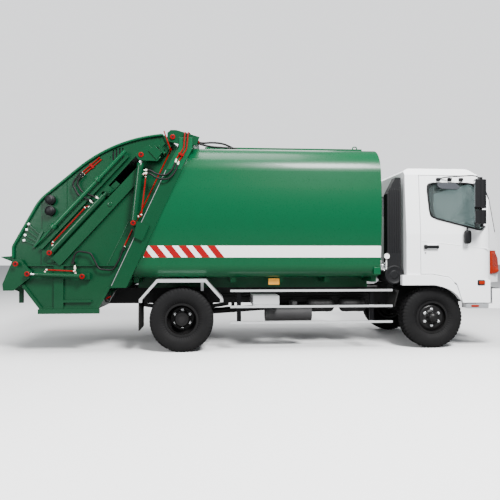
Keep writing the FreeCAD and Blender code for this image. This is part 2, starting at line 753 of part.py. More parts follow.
def drive_line():
    engine_rear = engine_front - engine_length
    engine = block("Engine", engine_rear, engine_front, -engine_half_width, engine_half_width,
                   engine_bottom, engine_top)
    gearbox = block("Gearbox", engine_rear - gearbox_length, engine_rear, -engine_half_width * 0.6,
                    engine_half_width * 0.6, engine_bottom + seat_gap, rail_top - rail_wall)
    mounts = []
    for side_name, side in SIDES:
        y_low, y_high = span(side, engine_half_width - rail_wall, rail_outer_y - rail_flange)
        mounts.append(block(f"EngineMount{side_name}", engine_front - engine_length / 2,
                            engine_front - engine_length / 3,
                            y_low, y_high, rail_bottom - cross_member_drop, rail_bottom + cross_member_drop))
    node("engine_block", [fuse("EngineBody", [engine, gearbox] + mounts)])
    start_x = bowl_radius + flange_depth + seat_gap
    end_x = engine_rear - gearbox_length - seat_gap
    end_z = rail_bottom - cross_member_drop
    slope, reach = aim(end_x - start_x - flange_depth, end_z - tyre_radius)
    bar = leaning_bar("ShaftTube", shaft_radius, start_x + flange_depth / 2, ZERO, tyre_radius, reach, slope)
    flanges = [length_bar("RearFlange", shaft_radius * 1.3, start_x, start_x + flange_depth, ZERO,
                          tyre_radius),
               length_bar("FrontFlange", shaft_radius * 1.3, end_x - flange_depth, end_x, ZERO, end_z)]
    node("prop_shaft", [fuse("PropShaft", [bar] + flanges)])


chassis_frame()
springs()
drive_line()

# Body and its rear portal


def body_section(name, inset, rear, front):
    """The body's oval: lines between foot, flank, shoulder and crown corners, each rounded by an arc."""
    half = [(body_foot_y - inset, floor_height + inset),
            (body_half_width + flank_bow - inset, body_wide_height),
            (body_shoulder_y - inset, body_shoulder_height - inset)]
    outline = half + [(ZERO, body_crown_height - inset)] + [(-y, z) for y, z in reversed(half)]
    rounds = (((0, 6), body_foot_radius - inset), ((1, 5), body_flank_radius - inset),
              ((2, 4), body_shoulder_radius - inset), ((3,), body_crown_radius - inset))
    return end_slab(name, outline, rear, front, rounds)


def seam_solid(name, rear_offset, front_x, half_width, low, high):
    """Everything in front of the slanted seam plane, moved forward by an offset."""
    outline = [(point_on_seam(low, rear_offset), low), (front_x, low), (front_x, high),
               (point_on_seam(high, rear_offset), high)]
    return side_slab(name, outline, -half_width, half_width)


def body_shell():
    wide = body_half_width + overrun
    low = floor_height - overrun
    high = body_crown_height + overrun
    rear = point_on_seam(low) - overrun
    outer = body_section("BodyOuter", ZERO, rear, body_front)
    inner = body_section("BodyInner", body_wall, rear - overrun, body_front - body_wall)
    sheet_tube = cut("BodyTube", outer, inner)
    front_part = seam_solid("BodySlant", post_depth, body_front + overrun, wide, low, high)
    rails = []
    for side_name, side in SIDES:
        y_low, y_high = span(side, top_rail_y, top_rail_y + top_rail_width)
        rails.append(block(f"TopRail{side_name}", point_on_seam(body_top, post_depth * 1.4),
                           body_front - body_wall * 2,
                           y_low, y_high, body_top - body_wall * 2.5, body_top + top_rail_proud))
    slanted = common("BodySlanted", [sheet_tube, front_part])
    node("body_shell", [fuse("BodyShell", [slanted] + rails)])


def rear_portal():
    """Two posts, a sill beam and a header that frame the body's rear opening in the seam plane."""
    outer_y = body_half_width + moving_gap
    inner_y = outer_y - post_width
    outer = [(-outer_y, seam_foot_height), (outer_y, seam_foot_height), (outer_y, post_bend_height),
             (outer_y - post_lean, post_top), (post_lean - outer_y, post_top), (-outer_y, post_bend_height)]
    inner = [(-inner_y, sill_top), (inner_y, sill_top), (inner_y, post_bend_height),
             (inner_y - post_lean, post_top - post_width), (post_lean - inner_y, post_top - post_width),
             (-inner_y, post_bend_height)]
    rear = point_on_seam(seam_foot_height) - overrun
    front = point_on_seam(post_top, post_depth) + overrun
    ring = cut("PortalRing", end_slab("PortalOuter", outer, rear, front),
               end_slab("PortalInner", inner, rear - overrun, front + overrun))
    outline = [(point_on_seam(seam_foot_height), seam_foot_height),
               (point_on_seam(seam_foot_height, post_depth), seam_foot_height),
               (point_on_seam(post_top, post_depth), post_top), (point_on_seam(post_top), post_top)]
    slanted = side_slab("PortalSlant", outline, -outer_y, outer_y)
    frame = common("PortalFrame", [ring, slanted])
    pieces = [frame]
    for side_name, side in SIDES:
        y_low, y_high = span(side, ear_y, ear_y + ear_thickness)
        ear = [(hinge_x - ear_radius * 0.75, hinge_height - ear_radius * 0.55),
               (hinge_x - ear_radius * 0.75, hinge_height + ear_radius * 0.6),
               (hinge_x - ear_radius * 0.3, hinge_height + ear_radius),
               (hinge_x + ear_radius * 0.5, hinge_height + ear_radius),
               (point_on_seam(post_top, post_depth * 1.1), post_top - post_width * 0.1),
               (point_on_seam(post_top, post_depth * 0.9), post_top - post_width * 0.9),
               (point_on_seam(hinge_height - ear_radius, post_depth * 0.2), hinge_height - ear_radius)]
        pieces.append(side_slab(f"HingeEar{side_name}", ear, y_low, y_high))
        ear_root = post_top - post_width
        y_low, y_high = span(side, body_half_width - post_width, ear_y)
        pieces.append(side_slab(f"EarRoot{side_name}", [
            (point_on_seam(ear_root), ear_root), (point_on_seam(ear_root, post_depth * 0.9), ear_root),
            (point_on_seam(post_top, post_depth * 0.9), post_top), (point_on_seam(post_top), post_top)],
            y_low, y_high))
        foot = lift_foot_height
        y_low, y_high = span(side, body_half_width - post_width * 0.3, lift_y - eye_width / 2 - seat_gap)
        bracket = [(lift_foot_x - eye_radius * 0.5, foot + eye_radius * 0.55),
                   (lift_foot_x - eye_radius, foot + eye_radius * 0.2),
                   (lift_foot_x - eye_radius, foot - eye_radius),
                   (point_on_seam(foot - eye_radius * 5, post_depth * 0.3), foot - eye_radius * 5),
                   (point_on_seam(foot - eye_radius * 3, post_depth * 0.7), foot - eye_radius * 3),
                   (point_on_seam(foot + eye_radius * 0.55, post_depth * 0.5), foot + eye_radius * 0.55)]
        pieces.append(side_slab(f"LiftFoot{side_name}", bracket, y_low, y_high))
        y_low, y_high = span(side, body_half_width - post_width * 0.3, lift_y + eye_width / 2 + rail_wall)
        pieces.append(cross_pin(f"LiftFootPin{side_name}", cylinder_pin_radius, lift_foot_x, foot, y_low,
                                y_high))
        y_low, y_high = span(side, tail_side_y + moving_gap, ear_y + ear_thickness + rail_wall)
        pieces.append(cross_pin(f"HingePin{side_name}", hinge_pin_radius, hinge_x, hinge_height, y_low,
                                y_high))
    node("rear_portal", [fuse("PortalBody", pieces)])


def body_subframe():
    pieces = []
    rear = point_on_seam(floor_height, post_depth)
    for side_name, side in SIDES:
        y_low, y_high = span(side, rail_outer_y - rail_flange, rail_outer_y)
        pieces.append(block(f"Sill{side_name}", rear, body_front, y_low, y_high, rail_top, floor_height))
    half_shares = (0.76, 0.49, 0.76, 0.76, 0.76, 0.76)
    for number, share in enumerate(half_shares):
        half = body_half_width * share
        start = rear + (body_front - rear - cross_member_length) * (number / (len(half_shares) - 1))
        pieces.append(block(f"Bearer{number}", start, start + cross_member_length, -half, half,
                            floor_height - cross_member_length, floor_height))
    node("body_subframe", [fuse("SubframeBody", pieces)])


ejector_rest = size("EjectorRest", 2480)
ejector_thickness = size("EjectorThickness", 60)
runner_y = size("RunnerY", 420)
runner_length = size("RunnerLength", 360)


def ejector_panel():
    """Push-out wall that slides rearward; it leans like the seam and follows the inner section."""
    clear = body_wall + moving_gap * 2
    low = floor_height + clear
    high = body_top - clear
    rear_face = ejector_rest - ejector_thickness
    lean = (high - low) * cosine(seam_angle) / sine(seam_angle)
    outline = [(rear_face - lean, low), (rear_face - lean + ejector_thickness, low),
               (ejector_rest, high), (rear_face, high)]
    wall = side_slab("EjectorWall", outline, -body_half_width, body_half_width)
    section = body_section("EjectorSection", clear, ZERO, body_front)
    pieces = [common("EjectorBody", [wall, section])]
    for side_name, side in SIDES:
        y_low, y_high = span(side, runner_y, runner_y + ejector_thickness)
        pieces.append(block(f"Runner{side_name}", rear_face - lean, rear_face - lean + runner_length, y_low,
                            y_high,
                            floor_height + body_wall + seat_gap, low + ejector_thickness / 2))
    node("ejector_panel", [fuse("EjectorAssembly", pieces)])


body_subframe()
body_shell()
rear_portal()
ejector_panel()

# Tailgate

side_inner = tail_side_y - tail_plate


def tail_outline(inset):
    """Outer outline of the tailgate seen from the side, moved inward by an inset."""
    shoulder = tail_roof_height - overrun * 4 - inset * 2
    return [
        (seam_back(shoulder, inset), shoulder), (tail_roof_x, tail_roof_height - inset),
        (tail_crown_x + inset * 0.4, tail_crown_height - inset * 1.05),
        (tail_back_x + inset * 0.9, tail_back_height - inset * 0.6),
        (tail_lip_x + inset, tail_lip_height), (tail_lip_x + inset, hopper_lip_height),
        (hopper_back_x + inset, hopper_back_height),
        (hopper_floor_x + inset * 0.4, hopper_floor_height + inset),
        (hopper_front_x - inset, hopper_floor_height + inset),
        (seam_back(seam_foot_height, inset), seam_foot_height), (seam_back(sill_top, inset), sill_top),
    ]


def tail_slab(name, inset, low, high):
    rounds = (((2,), tail_crown_radius - inset), ((3,), tail_back_radius - inset))
    return side_slab(name, tail_outline(inset), low, high, rounds)


def tailgate_shell():
    """Side plates joined by the curved cover and by the hopper's lip, back, floor and front."""
    solid = tail_slab("TailSolid", ZERO, -tail_side_y, tail_side_y)
    hollow = tail_slab("TailHollow", tail_plate, -side_inner, side_inner)
    shell = cut("TailShell", solid, hollow)
    mouth = [(cover_end_x - overrun * 12, cover_end_height), (cover_end_x + overrun * 4, cover_end_height),
             (tail_lip_x + overrun * 4, hopper_lip_height), (tail_lip_x - overrun * 2, hopper_lip_height)]
    mouth_cut = side_slab("TailMouth", mouth, -side_inner, side_inner)
    shoulder = tail_roof_height - overrun * 4 - tail_plate * 2
    front = [(seam_back(sill_top, overrun), sill_top), (seam_back(sill_top, -overrun), sill_top),
             (seam_back(shoulder, -overrun), shoulder), (seam_back(shoulder, overrun), shoulder)]
    front_cut = side_slab("TailFront", front, -side_inner, side_inner)
    slots = []
    for side_name, side in SIDES:
        y_low, y_high = span(side, side_inner - overrun, tail_side_y + overrun)
        slots.append(side_slab(f"SlideSlot{side_name}", slot_outline(), y_low, y_high))
        shares = ((-1, -0.55), (-0.35, -1), (0.6, -0.55), (1, 0.35), (0.55, 1), (-0.6, 0.6))
        hole = side_slab(f"VentHole{side_name}", [
            (vent_x + vent_half_length * across, vent_height + vent_half_height * up)
            for across, up in shares],
            y_low, y_high, (((0, 1, 2, 3, 4, 5), vent_bar),))
        bars = [block(f"VentBar{side_name}{number}",
                      vent_x + vent_half_length * (number * 0.4) - vent_bar / 2,
                      vent_x + vent_half_length * (number * 0.4) + vent_bar / 2, y_low, y_high,
                      vent_height - vent_half_height * 2, vent_height + vent_half_height * 2)
                for number in (-2, -1, 0, 1, 2)]
        slots.append(cut(f"Vent{side_name}", hole, fuse(f"VentBars{side_name}", bars)))
    opened = cut("TailgateOpen", shell, fuse("TailOpenings", [mouth_cut, front_cut] + slots))
    ledge = [(tail_lip_x + tail_plate / 2, lip_height + rail_wall), (-rear_reach, lip_height),
             (-rear_reach, lip_height - rail_wall),
             (tail_lip_x + tail_plate / 2, lip_height - eye_radius * 1.7)]
    lip = side_slab("HopperLip", ledge, -tail_side_y, tail_side_y)
    node("tailgate_shell", [fuse("TailgateBody", [opened, lip])])


slide_cos = cosine(slide_angle)
slide_sin = sine(slide_angle)
slot_margin = size("SlotMargin", 60)


def along_slide(distance, offset=ZERO):
    """A point on the slide's line, measured up from its eye, moved square to the line by an offset."""
    return (slide_eye_x + slide_cos * distance - slide_sin * offset,
            slide_eye_height + slide_sin * distance + slide_cos * offset)


def slide_strip(start, end, low, high):
    """A straight strip beside the slide's line."""
    return [along_slide(start, low), along_slide(end, low), along_slide(end, high), along_slide(start, high)]


def slot_outline():
    half = slot_width / 2
    return slide_strip(-slot_margin - half, slide_travel + slot_margin, -half, half)


beam_width = size("BeamWidth", 150)
beam_depth = size("BeamDepth", 55)


def hopper_ribs(side_name, side):
    """Edge flange round the side plate and the ribs on the hopper's cheek."""
    y_low, y_high = span(side, tail_side_y, tail_side_y + flange_proud)
    flange = cut(f"RimFlange{side_name}", tail_slab(f"RimOuter{side_name}", ZERO, y_low, y_high),
                 tail_slab(f"RimInner{side_name}", flange_width, y_low - overrun, y_high + overrun))
    y_low, y_high = span(side, tail_side_y, tail_side_y + rib_depth * 0.6)
    upright_rib = block(f"UprightRib{side_name}", cheek_rib_x - rib_depth, cheek_rib_x + rib_depth, y_low,
                        y_high,
                        hopper_floor_height, lifter_height - rib_depth / 2)
    slant = (hopper_floor_x - hopper_back_x) / (hopper_back_height - hopper_floor_height)
    top = hopper_back_height - rib_depth * 2
    wide = rib_depth * 0.8
    rear_rib = side_slab(f"RearRib{side_name}", [
        (hopper_floor_x, hopper_floor_height), (hopper_floor_x + wide, hopper_floor_height),
        (hopper_floor_x + wide - (top - hopper_floor_height) * slant, top),
        (hopper_floor_x - (top - hopper_floor_height) * slant, top)], y_low, y_high)
    front_rib = side_slab(f"FrontRib{side_name}", [
        (hopper_front_x - wide, hopper_floor_height), (hopper_front_x, hopper_floor_height),
        (seam_back(seam_foot_height), seam_foot_height),
        (seam_back(seam_foot_height) - wide, seam_foot_height)],
        y_low, y_high)
    ledge = block(f"CheekLedge{side_name}", cheek_rib_x + rib_depth, hopper_front_x - rib_depth * 1.5, y_low,
                  y_high,
                  cheek_ledge_height, cheek_ledge_height + rib_depth / 2)
    return [flange, upright_rib, rear_rib, front_rib, ledge]


def along_arm(distance, offset):
    """A point on the line from the tailgate's hinge to its lift pin, moved square to it by an offset."""
    angle = aim(lift_pin_x - hinge_x, lift_pin_height - hinge_height)[0]
    return (hinge_x + cosine(angle) * distance + sine(angle) * offset,
            hinge_height + sine(angle) * distance - cosine(angle) * offset)


def tailgate_frame():
    """Guide beams beside the slot, rim flange, hopper ribs, hinge arms and pin brackets."""
    pieces = []
    half = slot_width / 2
    for side_name, side in SIDES:
        y_low, y_high = span(side, tail_side_y, tail_side_y + beam_depth)
        start = -slide_cylinder_length - overrun
        pieces.append(side_slab(f"LowerGuide{side_name}",
                                slide_strip(start, slide_travel - overrun, -half - beam_width,
                                            -half - rail_wall),
                                y_low, y_high))
        pieces.append(side_slab(f"UpperGuide{side_name}",
                                slide_strip(start, slide_travel - overrun, half + rail_wall * 5,
                                            half + rail_wall * 9),
                                y_low, y_high))
        foot_x, foot_z = along_slide(-slide_cylinder_length)
        y_low, y_high = span(side, tail_side_y, slide_y + eye_width / 2 + rail_wall)
        pieces.append(cross_pin(f"SlideFootPin{side_name}", cylinder_pin_radius, foot_x, foot_z, y_low,
                                y_high))
        y_low, y_high = span(side, tail_side_y, slide_y - eye_width / 2 - seat_gap)
        pieces.append(side_slab(f"SlideFoot{side_name}", [
            (foot_x - eye_radius, foot_z - eye_radius * 3), (foot_x + eye_radius, foot_z - eye_radius * 3),
            along_slide(eye_radius / 2 - slide_cylinder_length, -eye_radius),
            along_slide(eye_radius / 2 - slide_cylinder_length, eye_radius)], y_low, y_high))
        y_low, y_high = span(side, tail_side_y, lifter_cylinder_y - lifter_eye_width / 2 - seat_gap)
        pieces.append(side_slab(f"LifterFoot{side_name}", [
            (lifter_foot_x - eye_radius * 0.4, lifter_foot_height - eye_radius),
            (lifter_foot_x + eye_radius * 2, lifter_foot_height - eye_radius),
            (lifter_foot_x + eye_radius * 2, lifter_foot_height + eye_radius),
            (lifter_foot_x - eye_radius * 0.4, lifter_foot_height + eye_radius)], y_low, y_high))
        y_low, y_high = span(side, tail_side_y, lifter_cylinder_y + lifter_eye_width / 2 + rail_wall)
        pieces.append(cross_pin(f"LifterFootPin{side_name}", lifter_pin_radius, lifter_foot_x,
                                lifter_foot_height,
                                y_low, y_high))
        y_low, y_high = span(side, tail_side_y, lifter_lever_y - lever_thickness - seat_gap)
        pieces.append(cross_pin(f"LifterBoss{side_name}", eye_radius, lifter_x, lifter_height, y_low, y_high))
        y_low, y_high = span(side, tail_side_y, lifter_lever_y + rail_wall)
        pieces.append(cross_pin(f"LifterPin{side_name}", cylinder_pin_radius, lifter_x, lifter_height,
                                y_low, y_high))
        y_low, y_high = span(side, tail_side_y, tail_side_y + rib_depth)
        pieces.append(block(f"FloorRib{side_name}", hopper_floor_x - rib_depth * 0.2,
                            hopper_front_x + rib_depth * 0.2,
                            y_low, y_high, hopper_floor_height - rib_depth, hopper_floor_height))
        y_low, y_high = span(side, tail_side_y, tail_side_y + rib_depth / 2)
        pieces.append(block(f"TopRib{side_name}", tail_lip_x + rib_depth * 2.2,
                            seam_back(lifter_height) - rib_depth,
                            y_low, y_high, lifter_height - rib_depth / 2, lifter_height - rib_depth / 4))
        pieces += hopper_ribs(side_name, side)
        arm_length = aim(hinge_x - lift_pin_x, hinge_height - lift_pin_height)[1]
        y_low, y_high = span(side, tail_side_y, ear_y - moving_gap)
        beam = [(-1.3, 0.5), (-0.6, 1.2), (0.6, 1.3), (1.6, 1.15)]
        arm = [along_arm(eye_radius * far, eye_radius * across) for far, across in beam]
        arm += [along_arm(arm_length * 0.82, eye_radius * 1.1),
                along_arm(arm_length * 0.82, -eye_radius * 1.1)]
        arm += [along_arm(eye_radius * far, -eye_radius * across) for far, across in reversed(beam)]
        pieces.append(side_slab(f"LiftArm{side_name}", arm, y_low, y_high))
        y_low, y_high = span(side, ear_y - moving_gap * 2, lift_y - eye_width / 2 - seat_gap)
        plate = [along_arm(arm_length * 0.27, eye_radius), along_arm(arm_length, eye_radius * 1.1),
                 along_arm(arm_length + eye_radius, eye_radius * 0.3),
                 along_arm(arm_length + eye_radius, -eye_radius * 0.6),
                 along_arm(arm_length, -eye_radius * 1.1), along_arm(arm_length * 0.45, -eye_radius * 1.1),
                 along_arm(arm_length * 0.27, -eye_radius * 0.6)]
        cheek = side_slab(f"LiftCheek{side_name}", plate, y_low, y_high)
        low, high = span(side, ear_y - moving_gap * 2, ear_y + ear_thickness - moving_gap)
        pieces.append(side_slab(f"ArmCover{side_name}", [
            along_arm(arm_length * 0.36, eye_radius * 1.9), along_arm(arm_length * 0.72, eye_radius * 1.9),
            along_arm(arm_length * 0.72, -eye_radius * 1.9), along_arm(arm_length * 0.36, -eye_radius * 1.9)],
                                low, high))
        room_low, room_high = span(side, tail_side_y, ear_y + moving_gap)
        pieces.append(cut(f"LiftPlate{side_name}", cheek, side_slab(f"SlideEyeRoom{side_name}", [
            along_arm(arm_length * 0.82, eye_radius * 3), along_arm(arm_length * 1.5, eye_radius * 3),
            along_arm(arm_length * 1.5, -eye_radius * 3), along_arm(arm_length * 0.82, -eye_radius * 3)],
            room_low, room_high)))
    frame = fuse("TailFrameBody", pieces)
    bores = []
    for side_name, side in SIDES:
        y_low, y_high = span(side, tail_side_y - overrun, ear_y + overrun)
        bores.append(cross_pin(f"HingeBore{side_name}", hinge_pin_radius + running_fit, hinge_x, hinge_height,
                               y_low, y_high))
    node("tailgate_frame", [cut("TailFrameTrim", frame, fuse("HingeBores", bores))])


def barrel(name, x, y, z, angle, radius, rod_radius, length, back_pin_radius, eye, eye_thickness):
    """Hydraulic barrel with an eye at its foot, a hollow bore and a gland that the rod runs in."""
    neck = eye * 0.9
    pieces = [leaning_bar(name + "Tube", radius, x + cosine(angle) * neck, y, z + sine(angle) * neck,
                          length - neck, angle),
              cross_pin(name + "Eye", eye, x, z, y - eye_thickness / 2, y + eye_thickness / 2)]
    solid = fuse(name + "Solid", pieces)
    start = eye + cylinder_wall * 2
    bore = leaning_bar(name + "Bore", rod_radius + running_fit, x + cosine(angle) * start, y,
                       z + sine(angle) * start,
                       length, angle)
    pin_bore = cross_pin(name + "PinBore", back_pin_radius + running_fit, x, z, y - radius * 2,
                         y + radius * 2)
    return cut(name, solid, fuse(name + "Bores", [bore, pin_bore]))


def rod(name, x, y, z, angle, radius, length, eye, eye_thickness, pin_radius, inward):
    """Hydraulic rod with its eye at (x, z), running back down into its barrel, and the pin's head."""
    pieces = [leaning_bar(name + "Bar", radius, x - cosine(angle) * length, y, z - sine(angle) * length,
                          length, angle),
              cross_pin(name + "Eye", eye, x, z, y - eye_thickness / 2, y + eye_thickness / 2),
              cross_pin(name + "Pin", pin_radius, x, z, y - eye_thickness / 2 - inward[0],
                        y + eye_thickness / 2 + inward[1])]
    return fuse(name, pieces)


def cylinder_pair(label, foot, eye_place, y, radii, barrel_length, eye, eye_thickness, pin_radius,
                  rod_length=None, outward=True):
    """Both barrels on one node; both rods are handed back. Pin heads face outward or to the middle."""
    radius, rod_radius = radii
    angle, reach = aim(eye_place[0] - foot[0], eye_place[1] - foot[1])
    barrels = []
    rods = []
    rod_length = rod_length or reach - eye * 2 - cylinder_wall * 2
    for side_name, side in SIDES:
        barrels.append(barrel(f"{label}{side_name}", foot[0], y * side, foot[1], angle, radius, rod_radius,
                              barrel_length, pin_radius, eye, eye_thickness))
        head = (rail_wall, ZERO) if (side < 0) == outward else (ZERO, rail_wall)
        rods.append(rod(f"{label}Rod{side_name}", eye_place[0], y * side, eye_place[1], angle, rod_radius,
                        rod_length, eye, eye_thickness, pin_radius, head))
    node(label, barrels)
    return rods


def lift_cylinders():
    rods = cylinder_pair("lift_barrels", (lift_foot_x, lift_foot_height), (lift_pin_x, lift_pin_height),
                         lift_y,
                         (lift_barrel_radius, lift_rod_radius), lift_barrel_length, eye_radius, eye_width,
                         cylinder_pin_radius)
    node("lift_rods", rods)


def lifter_cylinders():
    rods = cylinder_pair("lifter_barrels", (lifter_foot_x, lifter_foot_height),
                         (lifter_eye_x, lifter_eye_height), lifter_cylinder_y,
                         (lifter_barrel_radius, lifter_rod_radius), lifter_barrel_length, lifter_eye_radius,
                         lifter_eye_width, lifter_pin_radius)
    node("lifter_rods", rods)


def blade_lever_eye():
    return along_slide(blade_lever * cosine(blade_lever_angle) - blade_hinge_drop,
                       blade_lever * sine(blade_lever_angle))


def blade_cylinders():
    foot = along_slide(blade_cylinder_top, blade_cylinder_offset)
    rods = cylinder_pair("blade_barrels", foot, blade_lever_eye(), blade_cylinder_y,
                         (blade_barrel_radius, blade_rod_radius), blade_barrel_length, eye_radius, eye_width,
                         cylinder_pin_radius, blade_rod_length, False)
    node("blade_rods", rods)


def packer_carriage():
    rods = cylinder_pair("slide_barrels", along_slide(-slide_cylinder_length), along_slide(ZERO), slide_y,
                         (slide_barrel_radius, slide_rod_radius), slide_cylinder_length - eye_radius * 2.2,
                         eye_radius, eye_width, cylinder_pin_radius)
    plate = side_slab("CarriagePlate", slide_strip(-blade_hinge_drop + ear_radius, carriage_top,
                                                   -carriage_thickness / 2, carriage_thickness / 2),
                      -carriage_half_width, carriage_half_width)
    hinge_x_place, hinge_z_place = along_slide(-blade_hinge_drop)
    pieces = [plate]
    for side_name, side in SIDES:
        y_low, y_high = span(side, carriage_half_width - carriage_thickness, slide_y)
        half = slot_width / 2 - moving_gap
        pieces.append(side_slab(f"SlideShoe{side_name}", slide_strip(-half, half, -half, half), y_low,
                                y_high))
        y_low, y_high = span(side, carriage_half_width * 0.55, carriage_half_width * 0.62)
        pieces.append(side_slab(f"BladeLug{side_name}", slide_strip(
            -blade_hinge_drop - eye_radius, -blade_hinge_drop + ear_radius * 1.4, -eye_radius, eye_radius),
            y_low, y_high))
        y_low, y_high = span(side, blade_cylinder_y + eye_width / 2 + seat_gap,
                             blade_cylinder_y + eye_width / 2 + lever_thickness)
        lug = slide_strip(blade_cylinder_top - eye_radius * 0.5, blade_cylinder_top + eye_radius,
                          ZERO, blade_cylinder_offset + eye_radius)
        pieces.append(side_slab(f"BladeCylinderLug{side_name}", lug, y_low, y_high))
        y_low, y_high = span(side, blade_cylinder_y - eye_width / 2, blade_cylinder_y + eye_width)
        pieces.append(cross_pin(f"BladeCylinderPin{side_name}", cylinder_pin_radius,
                                *along_slide(blade_cylinder_top, blade_cylinder_offset), y_low, y_high))
    pieces.append(cross_pin("BladeHingePin", blade_pin_radius, hinge_x_place, hinge_z_place,
                            -carriage_half_width * 0.9, carriage_half_width * 0.9))
    node("packer_carriage", [fuse("CarriageBody", pieces + rods)])


def packer_blade():
    """Curved sweep blade hung under the carriage, with lever plates for its cylinders."""
    pivot_x, pivot_z = along_slide(-blade_hinge_drop)
    turn_cos = cosine(blade_rest_angle)
    turn_sin = sine(blade_rest_angle)

    def place(out, across):
        return (pivot_x + turn_cos * out - turn_sin * across, pivot_z + turn_sin * out + turn_cos * across)

    half = blade_thickness / 2
    outline = [place(ZERO, -half), place(blade_length * 0.55, -half * 1.6), place(blade_length, half),
               place(blade_length * 0.96, half * 2), place(blade_length * 0.5, half * 0.6), place(ZERO, half)]
    wall = side_slab("BladeWall", outline, -carriage_half_width, carriage_half_width)
    knuckle_tube = cross_pin("BladeTube", ear_radius * 0.75, pivot_x, pivot_z, -carriage_half_width,
                             carriage_half_width)
    levers = []
    eye_x, eye_z = blade_lever_eye()
    out_x = (eye_x - pivot_x) / blade_lever
    out_z = (eye_z - pivot_z) / blade_lever
    wide = eye_radius * 0.7
    for side_name, side in SIDES:
        y_low, y_high = span(side, blade_cylinder_y + eye_width / 2 + seat_gap,
                             blade_cylinder_y + eye_width / 2 + lever_thickness)
        corners = [(-wide, ZERO), (-wide, blade_lever + wide), (wide, blade_lever + wide), (wide, ZERO)]
        lever = [(pivot_x + out_x * far - out_z * across, pivot_z + out_z * far + out_x * across)
                 for across, far in corners]
        levers.append(side_slab(f"BladeLever{side_name}", lever, y_low, y_high))
    solid = fuse("BladeSolid", [wall, knuckle_tube] + levers)
    cuts = [cross_pin("BladeBore", blade_pin_radius + running_fit, pivot_x, pivot_z,
                      -carriage_half_width - overrun, carriage_half_width + overrun)]
    for side_name, side in SIDES:
        y_low, y_high = span(side, carriage_half_width * 0.55 - moving_gap,
                             carriage_half_width * 0.62 + moving_gap)
        cuts.append(cross_pin(f"BladeLugRoom{side_name}", ear_radius * 1.6, pivot_x, pivot_z, y_low, y_high))
    node("packer_blade", [cut("BladeBody", solid, fuse("BladeCuts", cuts))])


def bin_lifter():
    pieces = []
    for side_name, side in SIDES:
        y_low, y_high = span(side, lifter_lever_y - lever_thickness, lifter_lever_y)
        lever = [(lifter_x - eye_radius * 1.3, lifter_height + eye_radius * 1.4),
                 (lifter_x + eye_radius, lifter_height + eye_radius * 1.4),
                 (lifter_x + eye_radius * 2, lifter_height),
                 (lifter_eye_x + eye_radius, lifter_eye_height + eye_radius * 0.6),
                 (lifter_eye_x + eye_radius * 0.6, lifter_eye_height - eye_radius),
                 (lifter_x - eye_radius * 1.2, lifter_height - eye_radius * 8.2),
                 (lifter_x - eye_radius * 4.2, lifter_height - eye_radius * 8.2),
                 (lifter_x - eye_radius * 4.4, lifter_height - eye_radius * 6.2)]
        pieces.append(side_slab(f"LifterLever{side_name}", lever, y_low, y_high))
        y_low, y_high = span(side, lifter_lever_y * 0.72, lifter_lever_y * 0.75)
        outline = ((-4.2, -6.3), (-2.8, -6.3), (-0.4, -7.9), (-0.4, -12.5), (-1.7, -12.5), (-1.7, -8.9),
                   (-4.2, -7.9))
        hanger = [(lifter_x + eye_radius * across, lifter_height + eye_radius * up) for across, up in outline]
        pieces.append(side_slab(f"LifterHanger{side_name}", hanger, y_low, y_high))
    pieces.append(block("LifterBar", lifter_x - eye_radius * 4.2, lifter_x - eye_radius * 2.8,
                        -lifter_lever_y,
                        lifter_lever_y, lifter_height - eye_radius * 7.9, lifter_height - eye_radius * 6.3))
    solid = fuse("LifterSolid", pieces)
    bore = cross_pin("LifterBore", cylinder_pin_radius + running_fit, lifter_x, lifter_height,
                     -lifter_lever_y - overrun, lifter_lever_y + overrun)
    node("bin_lifter", [cut("LifterBody", solid, bore)])


tailgate_shell()
tailgate_frame()
lift_cylinders()
packer_carriage()
packer_blade()
blade_cylinders()
bin_lifter()
lifter_cylinders()

# Cab


def cab_form(name, inset):
    """The cab's outer form moved inward by an inset: the meeting of its side, front and plan outlines."""
    wide = cab_half_width - inset
    side = [(cab_rear + inset, cab_floor + inset), (cab_rear + inset, cab_roof - inset * 1.2 - cab_brow),
            (cab_rear + inset + cab_brow * 2, cab_roof - inset),
            (cab_front - cab_brow * 12 - inset * 0.6, cab_roof - inset),
            (cab_front - cab_brow * 8 - inset, cab_roof - cab_brow * 3.6 - inset * 0.5),
            (cab_front - cab_brow * 1.8 - inset, belt_height + cab_brow - inset * 0.2),
            (cab_front - inset, belt_height - cab_brow * 2 - inset * 0.1),
            (cab_front - inset, cab_floor + inset)]
    rounds = (((3, 4), cab_brow * 3), ((1, 2), cab_brow))
    side_form = side_slab(name + "Side", side, -cab_half_width - overrun, cab_half_width + overrun, rounds)
    roof_half = cab_half_width * 0.84 - inset
    front = [(-wide, cab_floor + inset), (wide, cab_floor + inset), (wide, belt_height),
             (cab_half_width * 0.93 - inset, cab_roof - cab_brow * 2.5), (roof_half, cab_roof - inset),
             (-roof_half, cab_roof - inset), (inset - cab_half_width * 0.93, cab_roof - cab_brow * 2.5),
             (-wide, belt_height)]
    front_form = end_slab(name + "Front", front, cab_rear, cab_front + overrun)
    plan = [(cab_rear + inset, -wide), (cab_front - cab_corner * 1.2, -wide),
            (cab_front - inset, cab_corner - wide),
            (cab_front - inset, wide - cab_corner), (cab_front - cab_corner * 1.2, wide),
            (cab_rear + inset, wide)]
    plan_form = plan_slab(name + "Plan", plan, cab_floor - overrun, cab_roof + overrun,
                          (((1, 4), cab_corner),))
    return common(name, [side_form, front_form, plan_form])


